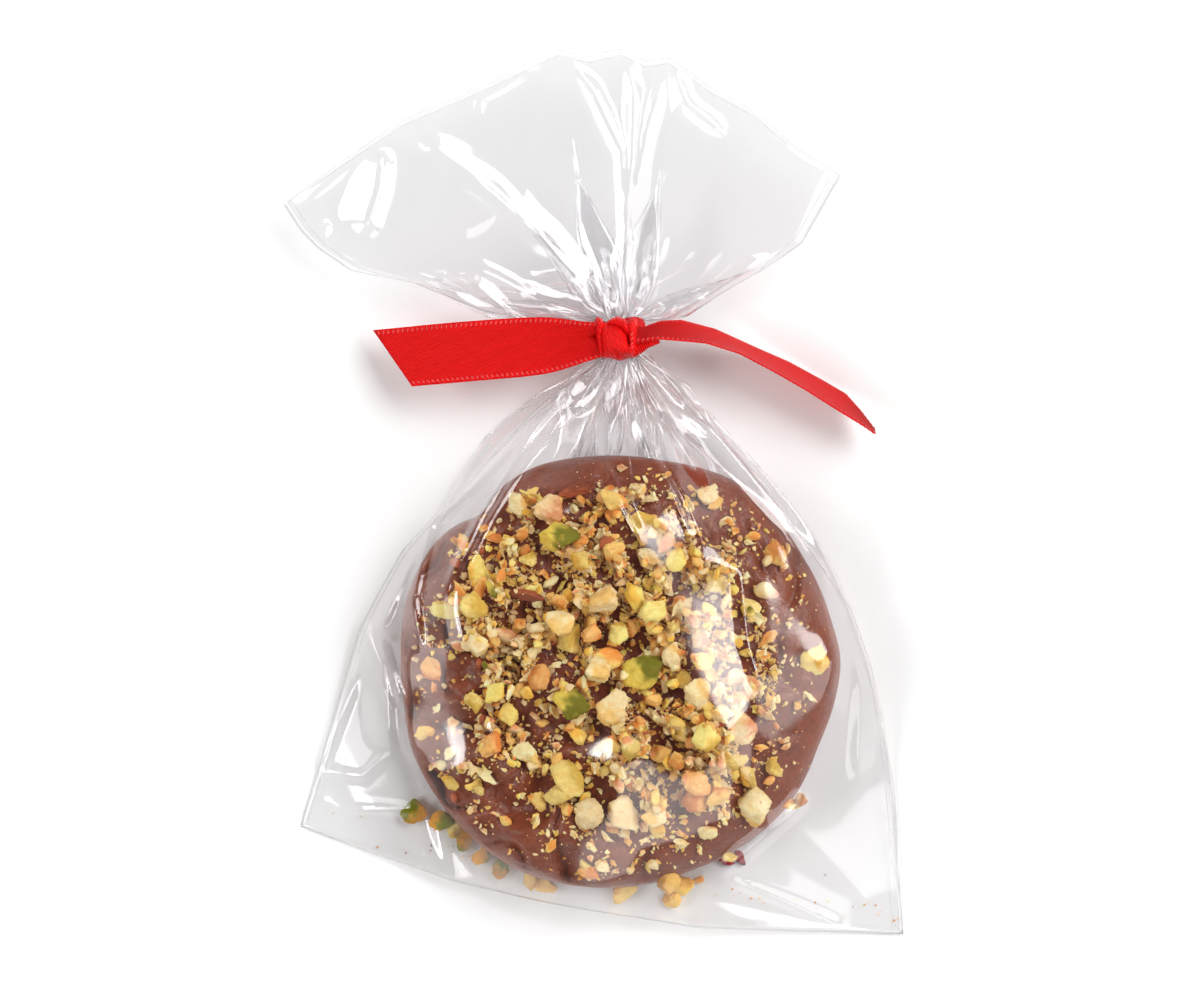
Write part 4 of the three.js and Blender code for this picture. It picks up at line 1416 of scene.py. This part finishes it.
# %% Right tail
RIGHT_FAR = [(634, 322), (643, 327), (651, 324.5), (660, 321), (681, 320), (715, 329), (759, 349), (789, 362),
             (822, 380), (846, 394), (861, 411), (875, 430)]
RIGHT_NEAR = [(634, 342), (657, 339), (671, 340), (706, 343), (740, 353.5), (773, 371), (806, 390),
              (839, 411), (867, 428), (875.5, 434)]


def strip_between(near, far, near_heights, far_heights):
    """A strip between two lines of pixels at heights, its flat measure in centimetres, and its normals."""
    t = np.linspace(0, 1, STRIP_ROWS + 1)
    edges = []
    for line, heights in ((near, near_heights), (far, far_heights)):
        line = np.array(line, float)
        run = np.r_[0, np.cumsum(np.hypot(*np.diff(line, axis=0).T))]
        height = smooth_line(heights, t)
        px, py = (np.interp(t, run / run[-1], line[:, axis]) for axis in (0, 1))
        edges.append(np.stack([*place(px, py, height), height], axis=1))
    v = np.linspace(0, 1, STRIP_COLUMNS + 1)[None, :, None]
    grid = edges[0][:, None] * (1 - v) + edges[1][:, None] * v
    right, down = np.gradient(grid, axis=1), np.gradient(grid, axis=0)
    normal = unit(np.cross(right, down))
    bow = 0.45 * np.sin(math.pi * v) * np.sin(math.pi * t)[:, None, None]
    middle = grid[:, STRIP_COLUMNS // 2]
    run = np.r_[0, np.cumsum(np.linalg.norm(np.diff(middle, axis=0), axis=1))]
    uv = np.stack([np.broadcast_to(run[:, None] / 10, grid.shape[:2]),
                   np.broadcast_to((v[..., 0] - 0.5) * 2 * RIBBON_HALF / 10, grid.shape[:2])], axis=-1)
    return grid + normal * bow, uv, normal[:, STRIP_COLUMNS // 2]


right_grid, right_uv, right_normal = strip_between(
    RIGHT_NEAR, RIGHT_FAR, [12.2, 12.0, 11.2, 10.2, 9.4, 7.2], [10.4, 6.4, 2.8, 1.2, 0.8, 5.4])
right_tail = thick_sheet("ribbon_right_tail", right_grid, right_uv)
print("right tail:", len(right_tail.data.polygons), "faces")

# %% [markdown]
# Along each edge runs a row of tiny lighter stitches. They are real little loops of thread, about six in
# five millimetres, set on both faces of the strip.

# %% Edge stitches
STITCH_PITCH = 0.83            # mm
STITCH_COLUMNS = (1.44, 22.56) # how many columns of the strip in, on either side
stitch_ball, stitch_faces = ball(2)


def stitches(line, inward, normal, lift):
    """Small loops of thread along a line of points."""
    run = np.r_[0, np.cumsum(np.linalg.norm(np.diff(line, axis=0), axis=1))]
    points = []
    for at in np.arange(0.6, run[-1] - 0.3, STITCH_PITCH):
        j = min(np.searchsorted(run, at), len(line) - 2)
        ahead = unit(line[j + 1] - line[j])
        side = unit(inward[j] + 0.45 * ahead)
        middle = np.array([np.interp(at, run, line[:, axis]) for axis in range(3)]) + normal[j] * lift
        axes = np.stack([side * 0.33, unit(np.cross(normal[j], side)) * 0.11, normal[j] * 0.09])
        points.append(middle + stitch_ball @ axes)
    return points


stitch_points = []
for grid, normal in ((left_grid, left_normal), (right_grid, right_normal)):
    for column in STITCH_COLUMNS:
        k = int(column)
        line = grid[:, k] + (grid[:, k + 1] - grid[:, k]) * (column - k)
        inward = unit(grid[:, grid.shape[1] // 2] - line)
        for lift in (SATIN_THICK / 2, -SATIN_THICK / 2):
            stitch_points += stitches(line, inward, normal, lift)
print("stitches on the tails:", len(stitch_points))

# %% [markdown]
# The knot is the same ribbon, crushed. Its front is a sheet between an upper and a lower line of pixels,
# rounded off like a small cushion and then pressed into ridges and valleys: the two ears, the hood at the
# top with the dark hollow under it, and the lower folds. The flap at its right is a smaller such sheet.

# %% Lines of the knot
KNOT_TOP = [(594.5, 322), (596, 318.5), (598.3, 317.3), (601.3, 318.9), (604, 324), (607.3, 321.9),
            (612, 318.5), (618, 316.5), (623, 318.5), (627.6, 321), (630.6, 318.2), (634, 316.8),
            (637, 319.7), (637.4, 323.4)]
KNOT_BOTTOM = [(599.8, 355.8), (602.8, 357.3), (609, 357.6), (613, 358.4), (620, 360.3), (627, 358),
               (631.4, 356.5), (636, 356)]
KNOT_FOLDS = [                 # a line of pixels, how far it stands up in mm, and its half width in mm
    ([(598.3, 317), (597.5, 330), (600.8, 355)], 1.0, 0.45),
    ([(604, 322), (602, 334), (603.5, 350)], -0.9, 0.3),
    ([(605, 323), (611, 320), (618, 318), (624, 320), (628, 324)], 1.0, 0.6),
    ([(608, 325), (615, 326), (622, 329), (627, 336), (629, 343)], -1.5, 0.5),
    ([(634, 317), (633, 330), (632, 345), (631, 356)], 1.0, 0.5),
    ([(628, 321), (629.6, 332), (629, 345)], -0.6, 0.3),
    ([(616, 352), (622, 355.5), (628, 357)], -0.6, 0.4),
    ([(602, 353.5), (606, 353)], -0.7, 0.3),
    ([(604, 331), (612, 342), (622, 352)], 0.5, 1.2),
]
FLAP_TOP = [(632, 338), (648, 337), (655, 336.8), (659.6, 341.5)]
FLAP_BOTTOM = [(632, 357.5), (636, 356), (643.4, 351.3), (648, 347.5), (651, 346.4), (659.6, 342.6)]
FLAP_FOLDS = [([(634, 345), (646, 343), (658, 341.5)], -0.35, 0.35)]
KNOT_MIDDLE = (617, 339)
print("folds of the knot:", len(KNOT_FOLDS) + len(FLAP_FOLDS))

# %% Crushed ribbon
def crushed(top, bottom, low, high, folds, rows=84, columns=84):
    """A cushion of ribbon between two lines of pixels, with folds pressed into it."""
    s = np.linspace(0, 1, columns + 1)[None, :]
    t = np.linspace(0, 1, rows + 1)[:, None]
    px, py = 0.0, 0.0
    for line, share in ((bottom, 1 - t), (top, t)):
        line = np.array(line, float)
        x = line[0, 0] + s * (line[-1, 0] - line[0, 0])
        px = px + share * x
        py = py + share * np.interp(x, line[:, 0], line[:, 1])
    rounded = np.sqrt((1 - np.abs(2 * s - 1) ** 4) * (1 - np.abs(2 * t - 1) ** 4))
    height = low + (high - low) * rounded
    for line, amount, width in folds:
        nearest, _, _ = near_line(px / PIXELS_PER_MM, py / PIXELS_PER_MM, np.array(line) / PIXELS_PER_MM)
        height = height + amount * np.exp(-(nearest / width) ** 2) * (0.35 + 0.65 * rounded)
    x, y = place(px, py, height)
    across = (px - KNOT_MIDDLE[0]) / PIXELS_PER_MM
    up = (KNOT_MIDDLE[1] - py) / PIXELS_PER_MM
    uv = np.stack([(across - up) * 0.07, (across + up) * 0.07], axis=-1)
    return np.stack([x, y, height], axis=-1), uv

# %% Band round the neck
def band_grid():
    """The crushed ribbon round the neck, closed on itself behind the knot."""
    swing = np.linspace(0, 2 * math.pi, 97)[:, None]
    v = np.linspace(-1, 1, 23)[None, :]
    crush = 0.22 * np.cos(9 * v + 1.5 * np.sin(2 * swing)) + 0.12 * np.cos(17 * v - 2 * swing)
    radius = NECK_RADIUS + 0.75 + crush - 0.25 * v ** 4
    x = radius * np.sin(swing)
    z = radius * np.cos(swing)
    y = (2.7 + 0.2 * np.sin(3 * swing)) * v + 0.5 * np.sin(swing)
    grid = np.stack(np.broadcast_arrays(x, y, z), axis=-1) + (0, NECK[1], NECK[2])
    uv = np.stack(np.broadcast_arrays(swing * radius / 10, v * 0.42), axis=-1)
    return grid, uv

# %% Knot pieces
knot_grid, knot_uv = crushed(KNOT_TOP, KNOT_BOTTOM, 9.0, 14.2, KNOT_FOLDS)
flap_grid, flap_uv = crushed(FLAP_TOP, FLAP_BOTTOM, 9.6, 11.6, FLAP_FOLDS, 40, 60)
knot_pieces = [
    thick_sheet("knot_front", knot_grid, knot_uv),
    thick_sheet("knot_flap", flap_grid, flap_uv),
    thick_sheet("neck_band", *band_grid()),
]
print("knot:", sum(len(piece.data.polygons) for piece in knot_pieces), "faces")

# %% [markdown]
# Two edges of the ribbon show in the knot as well, so they get their stitches too. Then all the stitches
# become one mesh, in a thread that is lighter than the satin.

# %% Stitches of the knot, and all stitches as one piece
upright = np.array([0.0, 0.0, 1.0])
for line, inward in ((knot_grid[12:60, 74], (1.0, 0.5, 0.0)), (flap_grid[30, 6:54], (0.3, -1.0, 0.0))):
    rows = np.ones((len(line), 1))
    stitch_points += stitches(line, unit(rows * inward), rows * upright, SATIN_THICK / 2 + 0.05)
thread, thread_tree, thread_shader = new_material("stitch_thread", Roughness=0.5, Sheen_Weight=0.2)
add_uneven(thread_tree, thread_shader, srgb(240, 96, 92), srgb(214, 52, 50), 1.5, 0.2, 0.8, 0.2, 0.03)
edge_stitches = build_mesh(
    "ribbon_stitches", np.concatenate(stitch_points),
    np.concatenate([stitch_faces + len(stitch_ball) * n for n in range(len(stitch_points))]), thread)
print("stitches:", len(stitch_points))
ribbon_pieces = [left_tail, right_tail, edge_stitches, *knot_pieces]

# %% [markdown]
# Nothing moves, so every piece rides on the one body, root. The film stands in for the bag's block and
# the tails, knot and band for the ribbon's block.

# %% Ride, replace and finish
for piece in (cookie, bag, edges, *pieces_inside, *ribbon_pieces):
    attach(piece, "root")
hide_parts("bag")
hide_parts("ribbon")
